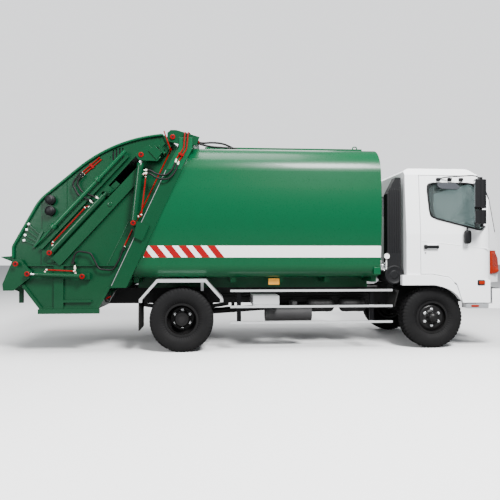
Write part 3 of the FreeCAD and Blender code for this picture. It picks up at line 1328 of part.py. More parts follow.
def door_outline(gap):
    """The door's outline seen from the side, made larger by a gap."""
    return [
        (door_rear - gap, arch_height - gap), (door_rear - gap, door_top + gap),
        (door_front - pillar_rake * 0.93, door_top + gap),
        (door_front + gap, belt_height + pillar_rake * 0.1),
        (door_front + gap, skirt_bottom - gap), (door_front - skirt_length - gap, skirt_bottom - gap),
        (door_front - skirt_length * 1.2 - gap, skirt_bottom + arch_rise * 0.62),
        (door_front - skirt_length * 1.5, skirt_bottom + arch_rise * 0.9 - gap),
        (door_front - skirt_length * 2.1, arch_height - gap),
    ]


def window_outline(gap):
    """The door window's outline, drawn in by a gap."""
    return [
        (door_rear + window_margin + gap, door_top - window_margin - gap),
        (door_rear + window_margin * 1.35 + gap, window_sill + window_drop + gap),
        (door_front - window_margin * 0.8 - gap, window_sill + gap),
        (door_front - pillar_rake - window_margin * 0.6 - gap, door_top - window_margin - gap),
    ]


def window_rounds(radius):
    return (((0, 1, 3), radius), ((2,), radius / 2))


def cab_openings():
    """Prisms for the windscreen, the rear window and the grille."""
    screen_half = cab_half_width * 0.795
    screen = [(-screen_half, belt_height + window_margin * 0.7),
              (screen_half, belt_height + window_margin * 0.7),
              (screen_half * 0.96, cab_roof - cab_brow * 3.9),
              (-screen_half * 0.96, cab_roof - cab_brow * 3.9)]
    front = end_slab("ScreenPrism", screen, cab_front - cab_brow * 13, cab_front + overrun,
                     (((0, 1, 2, 3), window_margin * 0.7),))
    rear_half = cab_half_width * 0.42
    rear = block("RearWindowPrism", cab_rear - overrun, cab_rear + cab_wall + overrun, -rear_half, rear_half,
                 belt_height + window_margin * 3, cab_roof - window_margin * 3)
    return front, rear


def cab():
    outer = cab_form("CabOuter", ZERO)
    inner = cab_form("CabInner", cab_wall)
    shell = cut("CabWalls", outer, inner)
    glass_ring = cut("GlassRing", cab_form("GlassOuter", glass_depth),
                     cab_form("GlassInner", glass_depth + glass_thickness))
    screen_prism, rear_prism = cab_openings()
    grille_half = cab_half_width * 0.62
    grille_prism = block("GrillePrism", cab_front - cab_wall - overrun, cab_front + overrun, -grille_half,
                         grille_half, grille_bottom, grille_top)
    tools = [screen_prism, rear_prism, grille_prism]
    inner_y = cab_half_width * 0.80
    for side_name, side in SIDES:
        y_low, y_high = span(side, inner_y, cab_half_width + overrun)
        room = side_slab(f"DoorRoom{side_name}", door_outline(door_gap), y_low, y_high)
        tools.append(cut(f"DoorHole{side_name}", room, door_sill(f"FloorEdge{side_name}", side, door_gap)))
    body = cut("CabShellOpen", shell, fuse("CabTools", tools))
    pieces = [body]
    for side_name, side in SIDES:
        pieces.append(wheel_flare(side_name, side))
        y_low, y_high = span(side, rail_outer_y - rail_flange * 2 - moving_gap,
                             rail_outer_y - rail_flange - moving_gap)
        lug = [(tilt_x - tilt_pin_radius * 4, cab_floor + cab_wall),
               (tilt_x - tilt_pin_radius * 2, tilt_height - tilt_pin_radius),
               (tilt_x + tilt_pin_radius * 1.4, tilt_height - tilt_pin_radius),
               (tilt_x + tilt_pin_radius * 1.4, cab_floor + cab_wall)]
        pieces.append(side_slab(f"TiltLug{side_name}", lug, y_low, y_high))
        y_low, y_high = span(side, rail_outer_y - rail_flange * 2 - moving_gap, rail_outer_y)
        pieces.append(cross_pin(f"TiltPin{side_name}", tilt_pin_radius, tilt_x, tilt_height, y_low, y_high))
    node("cab_shell", [fuse("CabShell", pieces)])
    node("cab_glass", [common("Windscreen", [glass_ring, screen_prism]),
                       common("RearGlass", [glass_ring, rear_prism])])
    bars = [block("GrilleBack", cab_front - cab_wall, cab_front - cab_wall + rail_wall, -grille_half,
                  grille_half,
                  grille_bottom, grille_top)]
    for number in range(grille_bars):
        low = grille_bottom + (grille_top - grille_bottom - grille_bar) * (number / (grille_bars - 1))
        bars.append(block(f"GrilleBar{number}", cab_front - cab_wall, cab_front - rail_wall, -grille_half,
                          grille_half, low, low + grille_bar))
    node("grille", [fuse("GrilleBody", bars)])
    for side_name, side in SIDES:
        door(side_name, side, shell, glass_ring)
    cab_fittings()


def door_sill(name, side, gap):
    """The strip of floor that the door closes against and does not carry."""
    y_low, y_high = span(side, cab_half_width * 0.7, cab_half_width - cab_wall - gap)
    return block(name, door_rear - overrun, door_front + overrun, y_low, y_high, cab_floor - overrun,
                 cab_floor + cab_wall)


def wheel_flare(side_name, side):
    """The white arch band over the front wheel, from behind the cab to the skirt."""
    y_low, y_high = span(side, cab_half_width - cab_wall, cab_half_width + flare_proud)
    outline = [(cab_rear - flare_proud * 3, flare_bottom),
               (cab_rear - flare_proud * 3, arch_height - door_gap * 2),
               (door_front - skirt_length * 2.1, arch_height - door_gap * 2),
               (door_front - skirt_length * 1.5 - door_gap, skirt_bottom + arch_rise * 0.88 - door_gap * 2),
               (door_front - skirt_length * 1.22 - door_gap * 2, skirt_bottom + arch_rise * 0.6),
               (front_axle_x + cosine(flare_foot_angle) * arch_radius + door_gap,
                tyre_radius + sine(flare_foot_angle) * arch_radius)]
    for share in flare_shares:
        angle = flare_foot_angle + (flare_top_angle - flare_foot_angle) * share
        outline.append((front_axle_x + cosine(angle) * arch_radius, tyre_radius + sine(angle) * arch_radius))
    outline.append((front_axle_x, flare_bottom))
    return side_slab(f"Flare{side_name}", outline, y_low, y_high)


def door(side_name, side, shell, glass_ring):
    y_low, y_high = span(side, cab_half_width * 0.80, cab_half_width + overrun)
    prism = side_slab(f"DoorPrism{side_name}", door_outline(ZERO), y_low, y_high)
    prism = cut(f"DoorForm{side_name}", prism, door_sill(f"DoorSill{side_name}", side, ZERO))
    panel = common(f"DoorPanel{side_name}", [shell, prism])
    low_y, high_y = span(side, cab_half_width - cab_wall, cab_half_width)
    skirt_top = cab_floor + overrun
    skirt = [(door_front, skirt_bottom), (door_front, skirt_top),
             (door_front - skirt_length * 1.3, skirt_top),
             (door_front - skirt_length * 1.2, skirt_bottom + arch_rise * 0.62),
             (door_front - skirt_length, skirt_bottom)]
    window = side_slab(f"WindowPrism{side_name}", window_outline(ZERO), y_low, y_high,
                       window_rounds(window_margin * 0.6))
    handle_low, handle_high = span(side, cab_half_width - rail_wall, cab_half_width + handle_proud)
    handle = block(f"Handle{side_name}", door_rear + window_margin * 0.5, door_rear + window_margin * 2.4,
                   handle_low, handle_high, handle_height, handle_height + overrun)
    body = fuse(f"DoorSolid{side_name}", [panel, side_slab(f"DoorSkirt{side_name}", skirt, low_y, high_y),
                                          handle])
    leaf = cut(f"DoorBody{side_name}", body, window)
    node(f"cab_door_{side_name}", [leaf])
    node(f"door_glass_{side_name}", [common(f"DoorGlass{side_name}", [glass_ring, window])])
    node(f"mirror_{side_name}", [cut(f"MirrorTrim{side_name}", mirror(side_name, side), leaf)])


def mirror(side_name, side):
    """Two mirror heads on a bent stay that is fixed to the door."""
    stay_x = door_front - mirror_setback
    low, high = span(side, mirror_y - mirror_half, mirror_y + mirror_half)
    plan = [(stay_x - mirror_depth, low), (stay_x, low), (stay_x, high), (stay_x - mirror_depth, high)]
    rounds = (((1, 2), mirror_depth * 0.7),)
    tall = plan_slab(f"MirrorHead{side_name}", plan, mirror_bottom, mirror_bottom + mirror_height, rounds)
    small = plan_slab(f"MirrorRound{side_name}", plan, mirror_bottom - mirror_height * 0.55,
                      mirror_bottom - stay_radius * 2, rounds)
    middle = stay_x - mirror_depth / 2
    top = mirror_bottom + mirror_height + stay_radius * 3
    bottom = mirror_bottom - mirror_height * 0.55 - stay_radius * 3
    pieces = [tall, small, upright(f"MirrorStay{side_name}", stay_radius * 0.9, middle, mirror_y * side,
                                   bottom, top)]
    root_x = door_front - pillar_rake * 1.5
    root_y = cab_half_width * 0.9
    tip_y = mirror_y + stay_radius
    arm = [(root_x, root_y * side), (root_x + stay_radius * 4, root_y * side),
           (middle + stay_radius, tip_y * side), (middle - stay_radius * 2, tip_y * side)]
    pieces.append(plan_slab(f"MirrorArm{side_name}", arm, top - stay_radius * 2, top))
    root_x = door_front - window_margin * 0.85
    root_y = cab_half_width * 0.972
    foot = [(root_x, root_y * side), (root_x + stay_radius * 3, root_y * side),
            (middle + stay_radius, tip_y * side), (middle - stay_radius * 2, tip_y * side)]
    pieces.append(plan_slab(f"MirrorFoot{side_name}", foot, bottom, bottom + stay_radius * 2))
    return fuse(f"MirrorBody{side_name}", pieces)


wheel_tilt = size("WheelTilt", 125)
ring_tilt = size("RingTilt", 25)


def cab_fittings():
    """Seats, dash, wheel and column share a node; corner lamps, bumper and head lamps follow."""
    floor_top = cab_floor + cab_wall
    pieces = []
    for side_name, side in SIDES:
        y_low, y_high = span(side, seat_inner, seat_inner + seat_width)
        cushion = [(cab_rear + cab_wall * 1.5, floor_top), (cab_rear + seat_length, floor_top),
                   (cab_rear + seat_length, floor_top + seat_height),
                   (cab_rear + cab_wall * 4, floor_top + seat_height),
                   (cab_rear + cab_wall * 3, floor_top + seat_height * 2.6),
                   (cab_rear + cab_wall * 1.5, floor_top + seat_height * 2.6)]
        pieces.append(side_slab(f"Seat{side_name}", cushion, y_low, y_high))
    node("seats", pieces)
    dash_half = cab_half_width - cab_wall * 5.2
    dash = [(cab_front - dash_depth, floor_top), (cab_front - dash_depth * 0.55, floor_top),
            (cab_front - cab_wall * 1.6, belt_height - cab_wall * 2),
            (cab_front - cab_wall * 2.4, belt_height - cab_wall),
            (cab_front - dash_depth * 1.1, belt_height - cab_wall),
            (cab_front - dash_depth * 1.1, belt_height - cab_wall * 4)]
    desk = side_slab("Dash", dash, -dash_half, dash_half)
    column_length = dash_depth * 0.5
    wheel_x = cab_front - dash_depth * 1.1 - column_length * 0.5
    wheel_z = belt_height + cab_wall * 0.5
    wheel_y = seat_inner + seat_width / 2
    column = leaning_bar("SteeringColumn", tilt_pin_radius, wheel_x + column_length * 0.9, wheel_y,
                         wheel_z - column_length * 0.55, column_length, wheel_tilt + ring_tilt)
    ring = document.addObject("Part::Torus", "SteeringRing")
    ring.setExpression("Radius1", steering_wheel_radius.text)
    ring.setExpression("Radius2", (stay_radius * 1.2).text)
    hub = document.addObject("Part::Cylinder", "SteeringHub")
    hub.setExpression("Radius", (steering_wheel_radius + stay_radius * 0.5).text)
    hub.setExpression("Height", (stay_radius * 0.8).text)
    for shape in (ring, hub):
        shape.Placement = FreeCAD.Placement(Vector(), FreeCAD.Rotation(Vector(0, 1, 0), -ring_tilt.value))
        shape.setExpression("Placement.Base.x", wheel_x.text)
        shape.setExpression("Placement.Base.y", wheel_y.text)
        shape.setExpression("Placement.Base.z", wheel_z.text)
    node("dash", [fuse("DashBody", [desk, column, ring, hub])])


cab_brow = size("CabBrow", 40)
cab_corner = size("CabCorner", 230)
arch_height = size("ArchHeight", 1020)
arch_rise = size("ArchRise", 390)
skirt_length = size("SkirtLength", 386)
pillar_rake = size("PillarRake", 125)
window_margin = size("WindowMargin", 100)
window_sill = size("WindowSill", 1600)
window_drop = size("WindowDrop", 190)
grille_bottom = size("GrilleBottom", 990)
grille_top = size("GrilleTop", 1290)
grille_bar = size("GrilleBar", 24)
grille_bars = 5
flare_proud = size("FlareProud", 22)
flare_bottom = size("FlareBottom", 870)
flare_foot_angle = size("FlareFootAngle", 35)
flare_top_angle = size("FlareTopAngle", 74)
flare_shares = (0, 0.25, 0.5, 0.75, 1)
arch_radius = size("ArchRadius", 437)
step_rear = size("StepRear", 3892)
step_height = size("StepHeight", 548)
step_thickness = size("StepThickness", 62)
step_width = size("StepWidth", 190)
handle_height = size("HandleHeight", 1375)
handle_proud = size("HandleProud", 28)
mirror_y = size("MirrorY", 1230)
mirror_half = size("MirrorHalfWidth", 90)
mirror_depth = size("MirrorDepth", 100)
mirror_setback = size("MirrorSetback", 165)
mirror_bottom = size("MirrorBottom", 1900)
mirror_height = size("MirrorHeight", 380)
stay_radius = size("StayRadius", 13)
seat_inner = size("SeatInner", 330)
seat_width = size("SeatWidth", 480)
seat_length = size("SeatLength", 650)
seat_height = size("SeatHeight", 330)
dash_depth = size("DashDepth", 420)
steering_wheel_radius = size("SteeringWheelRadius", 215)

cab()

# Fittings on the chassis

bumper_bottom = size("BumperBottom", 580)
bumper_top = size("BumperTop", 818)
bumper_wall = size("BumperWall", 14)
bumper_rear = size("BumperRear", 4232)
bumper_corner = size("BumperCorner", 110)
lamp_height = size("LampHeight", 130)
lamp_width = size("LampWidth", 270)
lamp_inner = size("LampInner", 640)
corner_lamp_bottom = size("CornerLampBottom", 1020)
corner_lamp_height = size("CornerLampHeight", 320)


def bumper_form(name, inset, rear, low, high):
    wide = cab_half_width - inset
    front = bumper_face - inset
    plan = [(rear, -wide), (front - bumper_corner, -wide), (front, bumper_corner - wide),
            (front, wide - bumper_corner), (front - bumper_corner, wide), (rear, wide)]
    return plan_slab(name, plan, low, high)


def bumper():
    outer = bumper_form("BumperOuter", ZERO, bumper_rear, bumper_bottom, bumper_top)
    room = bumper_form("BumperInner", bumper_wall, bumper_rear - overrun, bumper_bottom - overrun,
                       bumper_top + overrun)
    shell = cut("BumperShell", outer, room)
    middle = (bumper_bottom + bumper_top) / 2
    lamp_rooms = []
    lamps = []
    for side_name, side in SIDES:
        y_low, y_high = span(side, lamp_inner, lamp_inner + lamp_width)
        room_x = bumper_face - bumper_corner
        lamp_rooms.append(block(f"LampRoom{side_name}", room_x, bumper_face + overrun, y_low, y_high,
                                middle - lamp_height / 2, middle + lamp_height / 2))
        lamps.append(block(f"Lamp{side_name}", bumper_face - bumper_wall * 3, bumper_face - bumper_wall / 2,
                           y_low, y_high, middle - lamp_height / 2, middle + lamp_height / 2))
    stays = []
    for side_name, side in SIDES:
        y_low, y_high = span(side, rail_outer_y - rail_flange, rail_outer_y)
        stays.append(block(f"BumperStay{side_name}", frame_front, bumper_face - bumper_wall, y_low, y_high,
                           rail_bottom, rail_top - rail_wall * 2))
    steps = []
    for side_name, side in SIDES:
        y_low, y_high = span(side, cab_half_width - step_width, cab_half_width)
        board = block(f"StepBoard{side_name}", step_rear, bumper_face - bumper_corner, y_low, y_high,
                      step_height,
                      step_height + step_thickness)
        form = bumper_form(f"StepLimit{side_name}", ZERO, bumper_rear, bumper_bottom, bumper_top)
        steps.append(cut(f"Step{side_name}", board, form))
    node("bumper", [fuse("BumperBody", [cut("BumperOpen", shell,
                                            fuse("LampRooms", lamp_rooms))] + stays)] + steps)
    node("head_lamps", lamps)
    corner = []
    for side_name, side in SIDES:
        y_low, y_high = span(side, cab_half_width * 0.86, cab_half_width + rail_wall)
        room = block(f"CornerLampBox{side_name}", door_front + door_gap * 3, cab_front + overrun, y_low,
                     y_high,
                     corner_lamp_bottom, corner_lamp_bottom + corner_lamp_height)
        corner.append(room)
    outer = cab_form("LampOuter", -lamp_proud)
    corner_skin = cut("CornerSkin", outer, cab_form("LampInner", ZERO))
    node("corner_lamps", [common(f"CornerLamp{number}", [corner_skin, box]) for number,
                          box in enumerate(corner)])


lamp_proud = size("LampProud", 12)

guard_bar = size("GuardBar", 28)
guard_rear = size("GuardRear", 640)
guard_front = size("GuardFront", 2830)
guard_y = size("GuardY", 1040)
guard_low = size("GuardLow", 365)
guard_step = size("GuardStep", 212)


def side_guards():
    pieces = []
    for side_name, side in SIDES:
        y_low, y_high = span(side, guard_y, guard_y + guard_bar)
        for number in range(3):
            low = guard_low + guard_step * number
            pieces.append(block(f"Guard{side_name}{number}", guard_rear, guard_front, y_low, y_high, low,
                                low + guard_bar))
        post_low, post_high = span(side, guard_y - guard_bar * 1.2, guard_y)
        arm_low, arm_high = span(side, rail_outer_y, guard_y)
        for number, share in enumerate((0.04, 0.86)):
            start = guard_rear + (guard_front - guard_rear) * share
            pieces.append(block(f"GuardPost{side_name}{number}", start, start + guard_bar * 2, post_low,
                                post_high,
                                guard_low, rail_top))
            pieces.append(block(f"GuardArm{side_name}{number}", start, start + guard_bar * 2, arm_low,
                                arm_high,
                                rail_top - guard_bar * 2, rail_top - guard_bar))
    node("side_guards", [fuse("GuardBody", pieces)])


mudguard_top = size("MudguardTop", 960)
mudguard_half = size("MudguardHalf", 320)
mudguard_reach = size("MudguardReach", 545)
mudguard_foot = size("MudguardFoot", 700)
mudguard_inner = size("MudguardInner", 560)
mudguard_outer = size("MudguardOuter", 1120)
mudguard_sheet = size("MudguardSheet", 10)
mudguard_rim = size("MudguardRim", 40)


def guard_arch(shrink):
    reach = mudguard_reach - shrink
    shoulder = mudguard_half - shrink * 0.3
    foot = mudguard_foot - mudguard_rim
    return [(-reach, foot), (-reach, mudguard_foot), (-shoulder, mudguard_top - shrink),
            (shoulder, mudguard_top - shrink), (reach, mudguard_foot), (reach, foot)]


def rear_mudguards():
    pieces = []
    for side_name, side in SIDES:
        y_low, y_high = span(side, mudguard_inner, mudguard_outer)
        top = side_slab(f"MudTop{side_name}", guard_arch(ZERO), y_low, y_high)
        y_low, y_high = span(side, mudguard_inner - overrun, mudguard_outer + overrun)
        sheet_part = cut(f"MudSheet{side_name}", top,
                         side_slab(f"MudRoom{side_name}", guard_arch(mudguard_sheet * 1.2), y_low, y_high))
        y_low, y_high = span(side, mudguard_outer - mudguard_sheet * 2, mudguard_outer)
        rim_outer = side_slab(f"MudRim{side_name}", guard_arch(ZERO), y_low, y_high)
        y_low, y_high = span(side, mudguard_outer - overrun, mudguard_outer + overrun)
        rim_part = cut(f"MudRimBand{side_name}", rim_outer,
                       side_slab(f"MudRimRoom{side_name}", guard_arch(mudguard_rim), y_low, y_high))
        arm_low, arm_high = span(side, rail_outer_y, mudguard_inner + mudguard_sheet)
        arm = block(f"MudArm{side_name}", mudguard_half - mudguard_rim * 2, mudguard_half - mudguard_rim,
                    arm_low, arm_high,
                    rail_top - mudguard_rim, rail_top)
        stem_low, stem_high = span(side, mudguard_inner, mudguard_inner + mudguard_sheet)
        stem = block(f"MudStem{side_name}", mudguard_half - mudguard_rim * 2, mudguard_half - mudguard_rim,
                     stem_low, stem_high,
                     rail_top - mudguard_rim, mudguard_top - mudguard_sheet / 2)
        pieces.append(fuse(f"Mudguard{side_name}", [sheet_part, rim_part, arm, stem]))
    node("rear_mudguards", pieces)


flap_bottom = size("FlapBottom", 290)
flap_thickness = size("FlapThickness", 12)
flap_x = size("FlapX", 2905)


def mud_flaps():
    pieces = []
    arms = []
    for side_name, side in SIDES:
        y_low, y_high = span(side, mudguard_inner + overrun, mudguard_outer - overrun)
        pieces.append(block(f"RearFlap{side_name}", -mudguard_reach - flap_thickness, -mudguard_reach, y_low,
                            y_high,
                            flap_bottom, mudguard_foot))
        y_low, y_high = span(side, guard_y - mudguard_rim * 8, guard_y + guard_bar)
        pieces.append(side_slab(f"FrontFlap{side_name}", [
            (flap_x - overrun * 1.5, guard_low + guard_step),
            (flap_x - overrun * 1.5 + flap_thickness, guard_low + guard_step),
            (flap_x + flap_thickness, rail_top - rail_wall), (flap_x, rail_top - rail_wall)], y_low, y_high))
        y_low, y_high = span(side, rail_outer_y, guard_y)
        arms.append(block(f"FlapArm{side_name}", flap_x - overrun / 2, flap_x + overrun / 2, y_low, y_high,
                          rail_top - overrun, rail_top - rail_wall))
    node("mud_flaps", [fuse("FlapBody", pieces + arms)])


silencer_x = size("SilencerX", 1130)
silencer_length = size("SilencerLength", 640)
silencer_y = size("SilencerY", 760)
silencer_height = size("SilencerHeight", 470)
silencer_radius = size("SilencerRadius", 105)
battery_x = size("BatteryX", 950)
battery_length = size("BatteryLength", 350)
battery_bottom = size("BatteryBottom", 590)
battery_height = size("BatteryHeight", 140)
tank_x = size("FuelTankX", 1300)
tank_length = size("FuelTankLength", 900)
tank_bottom = size("FuelTankBottom", 400)
tank_height = size("FuelTankHeight", 370)


def chassis_boxes():
    y_low, y_high = span(-1, rail_outer_y, guard_y - guard_bar * 2)
    node("battery_box", [block("Battery", battery_x, battery_x + battery_length, y_low, y_high,
                               battery_bottom, battery_bottom + battery_height)])
    silencer = length_bar("SilencerTube", silencer_radius, silencer_x, silencer_x + silencer_length,
                          -silencer_y, silencer_height)
    stay = block("SilencerStay", silencer_x + silencer_length * 0.6, silencer_x + silencer_length * 0.7,
                 -silencer_y,
                 -rail_outer_y, silencer_height, rail_bottom + rail_flange * 0.5)
    node("silencer", [fuse("SilencerBody", [silencer, stay])])
    y_low, y_high = span(1, rail_outer_y, guard_y - guard_bar * 2)
    corner = tank_height * 0.18
    tank = [(y_low, tank_bottom), (y_high, tank_bottom), (y_high, tank_bottom + tank_height),
            (y_low, tank_bottom + tank_height)]
    node("fuel_tank", [end_slab("FuelTank", tank, tank_x, tank_x + tank_length, (((0, 1, 2, 3), corner),))])


intake_x = size("IntakeX", 2790)
intake_front = size("IntakeFront", 2980)
intake_y = size("IntakeY", 830)
intake_width = size("IntakeWidth", 150)
intake_bottom = size("IntakeBottom", 1060)
intake_top = size("IntakeTop", 2340)
cleaner_radius = size("CleanerRadius", 130)
cleaner_length = size("CleanerLength", 380)


def air_intake():
    """Air duct behind the cab on the right, standing on a drum shaped cleaner over the rail."""
    y_low, y_high = span(-1, intake_y, intake_y + intake_width)
    duct = [(intake_x, intake_bottom), (intake_front, intake_bottom), (intake_front, intake_top),
            (intake_front - rail_flange, intake_top), (intake_x, intake_top - rail_flange * 3)]
    middle = (intake_x + intake_front) / 2
    cleaner = cross_pin("Cleaner", cleaner_radius, middle, intake_bottom - cleaner_radius * 0.4,
                        -intake_y - intake_width, cleaner_length - intake_y - intake_width)
    leg_low, leg_high = span(-1, rail_outer_y - rail_flange, intake_y)
    leg = block("CleanerLeg", middle - rail_flange / 2, middle + rail_flange / 2, leg_low, leg_high,
                rail_top, rail_top + rail_flange)
    foot_low, foot_high = span(-1, intake_y - rail_flange, intake_y)
    foot = block("CleanerFoot", middle - rail_flange / 2, middle + rail_flange / 2, foot_low, foot_high,
                 rail_top, intake_bottom - cleaner_radius * 0.6)
    node("air_intake", [fuse("IntakeBody", [side_slab("IntakeDuct", duct, y_low, y_high), cleaner, leg,
                                            foot])])


lever_length = size("ControlLeverLength", 207)
lever_radius = size("ControlLeverRadius", 5)
knob_radius = size("KnobRadius", 15)
lever_base_x = size("LeverBaseX", -1822)
lever_base_height = size("LeverBaseHeight", 1536)
lever_pitch = size("LeverPitch", 43)
lever_slope = size("LeverSlope", 137)
lever_fan = size("LeverFan", 7)
lever_count = 4
boot_x = size("BootX", -1692)
boot_height = size("BootHeight", 1990)
boot_radius = size("BootRadius", 62)


lever_taper_share = 1 / 12


def control_levers():
    """Four control levers on the tailgate's right side, with round knobs and a pair of work lamps above."""
    top_x = lever_base_x + lever_pitch / 2
    top_z = lever_base_height + lever_pitch
    drop = lever_pitch * (lever_count + 1)
    half = knob_radius
    pieces = [side_slab("LeverPlate", [
        (top_x - half, top_z), (top_x - half - drop / 2, top_z - drop),
        (top_x + half - drop / 2, top_z - drop),
        (top_x + half, top_z)], -tail_side_y - lever_radius * 4, -tail_side_y)]
    for number in range(lever_count):
        x = lever_base_x - lever_pitch * (number / 2)
        z = lever_base_height - lever_pitch * number
        y = -tail_side_y - lever_radius * 3
        slope = lever_slope + lever_fan * number
        length = lever_length * (1 - lever_taper_share * number)
        pieces.append(leaning_bar(f"Lever{number}", lever_radius, x, y, z, length, slope))
        knob = document.addObject("Part::Sphere", f"Knob{number}")
        knob.setExpression("Radius", knob_radius.text)
        for letter, place in (("x", x + cosine(slope) * length), ("y", y), ("z", z + sine(slope) * length)):
            knob.setExpression(f"Placement.Base.{letter}", place.text)
        pieces.append(knob)
    body = fuse("LeverBody", pieces)
    node("control_levers", [body])
    lamps = [cross_pin(f"WorkLamp{number}", boot_radius, boot_x, boot_height - boot_radius * 2.3 * number,
                       -tail_side_y - boot_radius, -tail_side_y) for number in range(2)]
    node("work_lamps", lamps)


pipe_radius = size("PipeRadius", 9)
pipe_bend = size("PipeBend", 24)
hose_radius = size("HoseRadius", 12)
hose_bend = size("HoseBend", 75)
pipe_offset = size("PipeOffset", 62)
fitting = size("FittingSize", 30)
hose_start_x = size("HoseStartX", -752)
hose_start_height = size("HoseStartHeight", 1370)
edge_pipe_top = size("EdgePipeTop", 2685)
twin_pipe_x = size("TwinPipeX", -1172)
twin_pipe_height = size("TwinPipeMiddleHeight", 2441)
twin_pipe_length = size("TwinPipeLength", 290)
twin_pipe_pitch = size("TwinPipePitch", 34)
twin_pipe_angle = size("TwinPipeAngle", 42)


def beside(foot, eye_place, distance, offset):
    """A point beside a hydraulic cylinder: a distance along it and square to it, to the left of its run."""
    angle = aim(eye_place[0] - foot[0], eye_place[1] - foot[1])[0]
    return (foot[0] + cosine(angle) * distance - sine(angle) * offset,
            foot[1] + sine(angle) * distance + cosine(angle) * offset)


def cylinder_pipe(name, foot, eye_place, y, near, far, offset, root):
    """A pipe that leaves the barrel by its foot, runs beside it and comes back near its gland."""
    places = [beside(foot, eye_place, near, root), beside(foot, eye_place, near, offset),
              beside(foot, eye_place, far, offset), beside(foot, eye_place, far, root)]
    return pipe(name, pipe_radius, pipe_bend, places, y)


twin_hose_shares = ((-0.5, (-1.0, -1.48), (-0.14, -2.95), 0.84), (0.5, (-1.43, -1.95), (-0.36, -3.95), 0.78))


def twin_pipes():
    """Two red pipes under one clamp on the right side plate, and hoses from them to the slide cylinder."""
    run, rise = cosine(twin_pipe_angle), sine(twin_pipe_angle)
    slide_foot = along_slide(-slide_cylinder_length)
    y = -tail_side_y - pipe_radius - seat_gap
    hose_y = -tail_side_y - beam_depth - hose_radius - seat_gap
    half = twin_pipe_length / 2
    pieces = []
    hoses = []
    for number, (aside, first, second, share) in enumerate(twin_hose_shares):
        aside = twin_pipe_pitch * aside
        low = (twin_pipe_x - run * half - rise * aside, twin_pipe_height - rise * half + run * aside)
        high = (twin_pipe_x + run * half - rise * aside, twin_pipe_height + rise * half + run * aside)
        pieces.append(leaning_bar(f"TwinPipe{number}", pipe_radius, low[0], y, low[1], twin_pipe_length,
                                  twin_pipe_angle))
        pieces.append(cross_pin(f"TwinPipeRoot{number}", pipe_radius, high[0], high[1], y - pipe_radius,
                                -tail_side_y))
        reach = fitting / 2 + seat_gap
        start = (low[0] - run * reach, low[1] - rise * reach)
        end = beside(slide_foot, along_slide(ZERO), slide_cylinder_length * share,
                     slide_barrel_radius + reach)
        places = [start, (start[0] + hose_bend * first[0], start[1] + hose_bend * first[1]),
                  (start[0] + hose_bend * second[0], start[1] + hose_bend * second[1]), end]
        hose = [pipe(f"TwinHose{number}", hose_radius, hose_bend, places, hose_y)]
        hose.append(cross_pin(f"TwinHoseStart{number}", fitting / 2, start[0], start[1], hose_y - fitting / 2,
                              -tail_side_y))
        hose.append(cross_pin(f"TwinHoseEnd{number}", fitting / 2, end[0], end[1], hose_y - fitting / 2,
                              -slide_y))
        hoses.append(fuse(f"TwinHoseBody{number}", hose))
    clamp_half = pipe_radius * 1.5
    clamp_side = twin_pipe_pitch / 2 + pipe_radius * 2
    clamp = [(twin_pipe_x + run * clamp_half * u - rise * clamp_side * v,
              twin_pipe_height + rise * clamp_half * u + run * clamp_side * v)
             for u, v in ((-1, -1), (1, -1), (1, 1), (-1, 1))]
    pieces.append(side_slab("TwinPipeClamp", clamp, y - pipe_radius * 1.4, -tail_side_y))
    return fuse("TwinPipes", pieces), hoses


def pipes():
    slide_foot = along_slide(-slide_cylinder_length)
    lift_foot = (lift_foot_x, lift_foot_height)
    lift_top = (lift_pin_x, lift_pin_height)
    lifter_foot = (lifter_foot_x, lifter_foot_height)
    lifter_eye = (lifter_eye_x, lifter_eye_height)
    lift_set = []
    slide_set = []
    lifter_set = []
    edge = seam_offset_line()
    for side_name, side in SIDES:
        lift_set.append(cylinder_pipe(f"LiftPipe{side_name}", lift_foot, lift_top, lift_y * side,
                                      eye_radius * 2.2,
                                      lift_barrel_length - eye_radius * 2, -pipe_offset * 1.4,
                                      -lift_barrel_radius - seat_gap))
        slide_set.append(cylinder_pipe(f"SlidePipe{side_name}", slide_foot, along_slide(ZERO), slide_y * side,
                                       eye_radius * 2.2, slide_cylinder_length * 0.7, pipe_offset * 1.1,
                                       slide_barrel_radius + seat_gap))
        lifter_set.append(cylinder_pipe(f"LifterPipe{side_name}", lifter_foot, lifter_eye,
                                        lifter_cylinder_y * side,
                                        eye_radius * 2.2, lifter_barrel_length - eye_radius * 2, -pipe_offset,
                                        -lifter_barrel_radius - seat_gap))
        y = (tail_side_y + pipe_radius + seat_gap) * side
        slide_set.append(pipe(f"EdgePipe{side_name}", pipe_radius, pipe_bend, edge, y))
    node("lift_pipes", lift_set)
    node("lifter_pipes", lifter_set)
    twin_set, twin_hoses = twin_pipes()
    node("tail_pipes", slide_set + [twin_set])
    hose_y = -tail_side_y - rib_depth
    route = [(hose_start_x, hose_start_height), (hose_start_x - hose_bend * 0.6,
                                                 hose_start_height - hose_bend * 1.8),
             (hose_start_x - hose_bend * 1.8, hose_start_height - hose_bend * 3.9),
             (hose_start_x - hose_bend * 4.2, hose_start_height - hose_bend * 3.7),
             (hose_start_x - hose_bend * 5.6, hose_start_height - hose_bend * 0.9),
             (hose_start_x - hose_bend * 8.2, hose_start_height - hose_bend * 0.5),
             (hose_start_x - hose_bend * 8.6, hose_start_height - hose_bend * 2.6)]
    hose = pipe("TailHose", hose_radius, hose_bend, route, hose_y)
    clips = []
    for number, place in enumerate((route[0], route[-1])):
        clips.append(block(f"HoseFitting{number}", place[0] - fitting / 2, place[0] + fitting / 2,
                           hose_y - fitting / 2, -tail_side_y, place[1] - fitting / 2,
                           place[1] + fitting / 2))
    node("tail_hose", [fuse("TailHoseBody", [hose] + clips)] + twin_hoses)


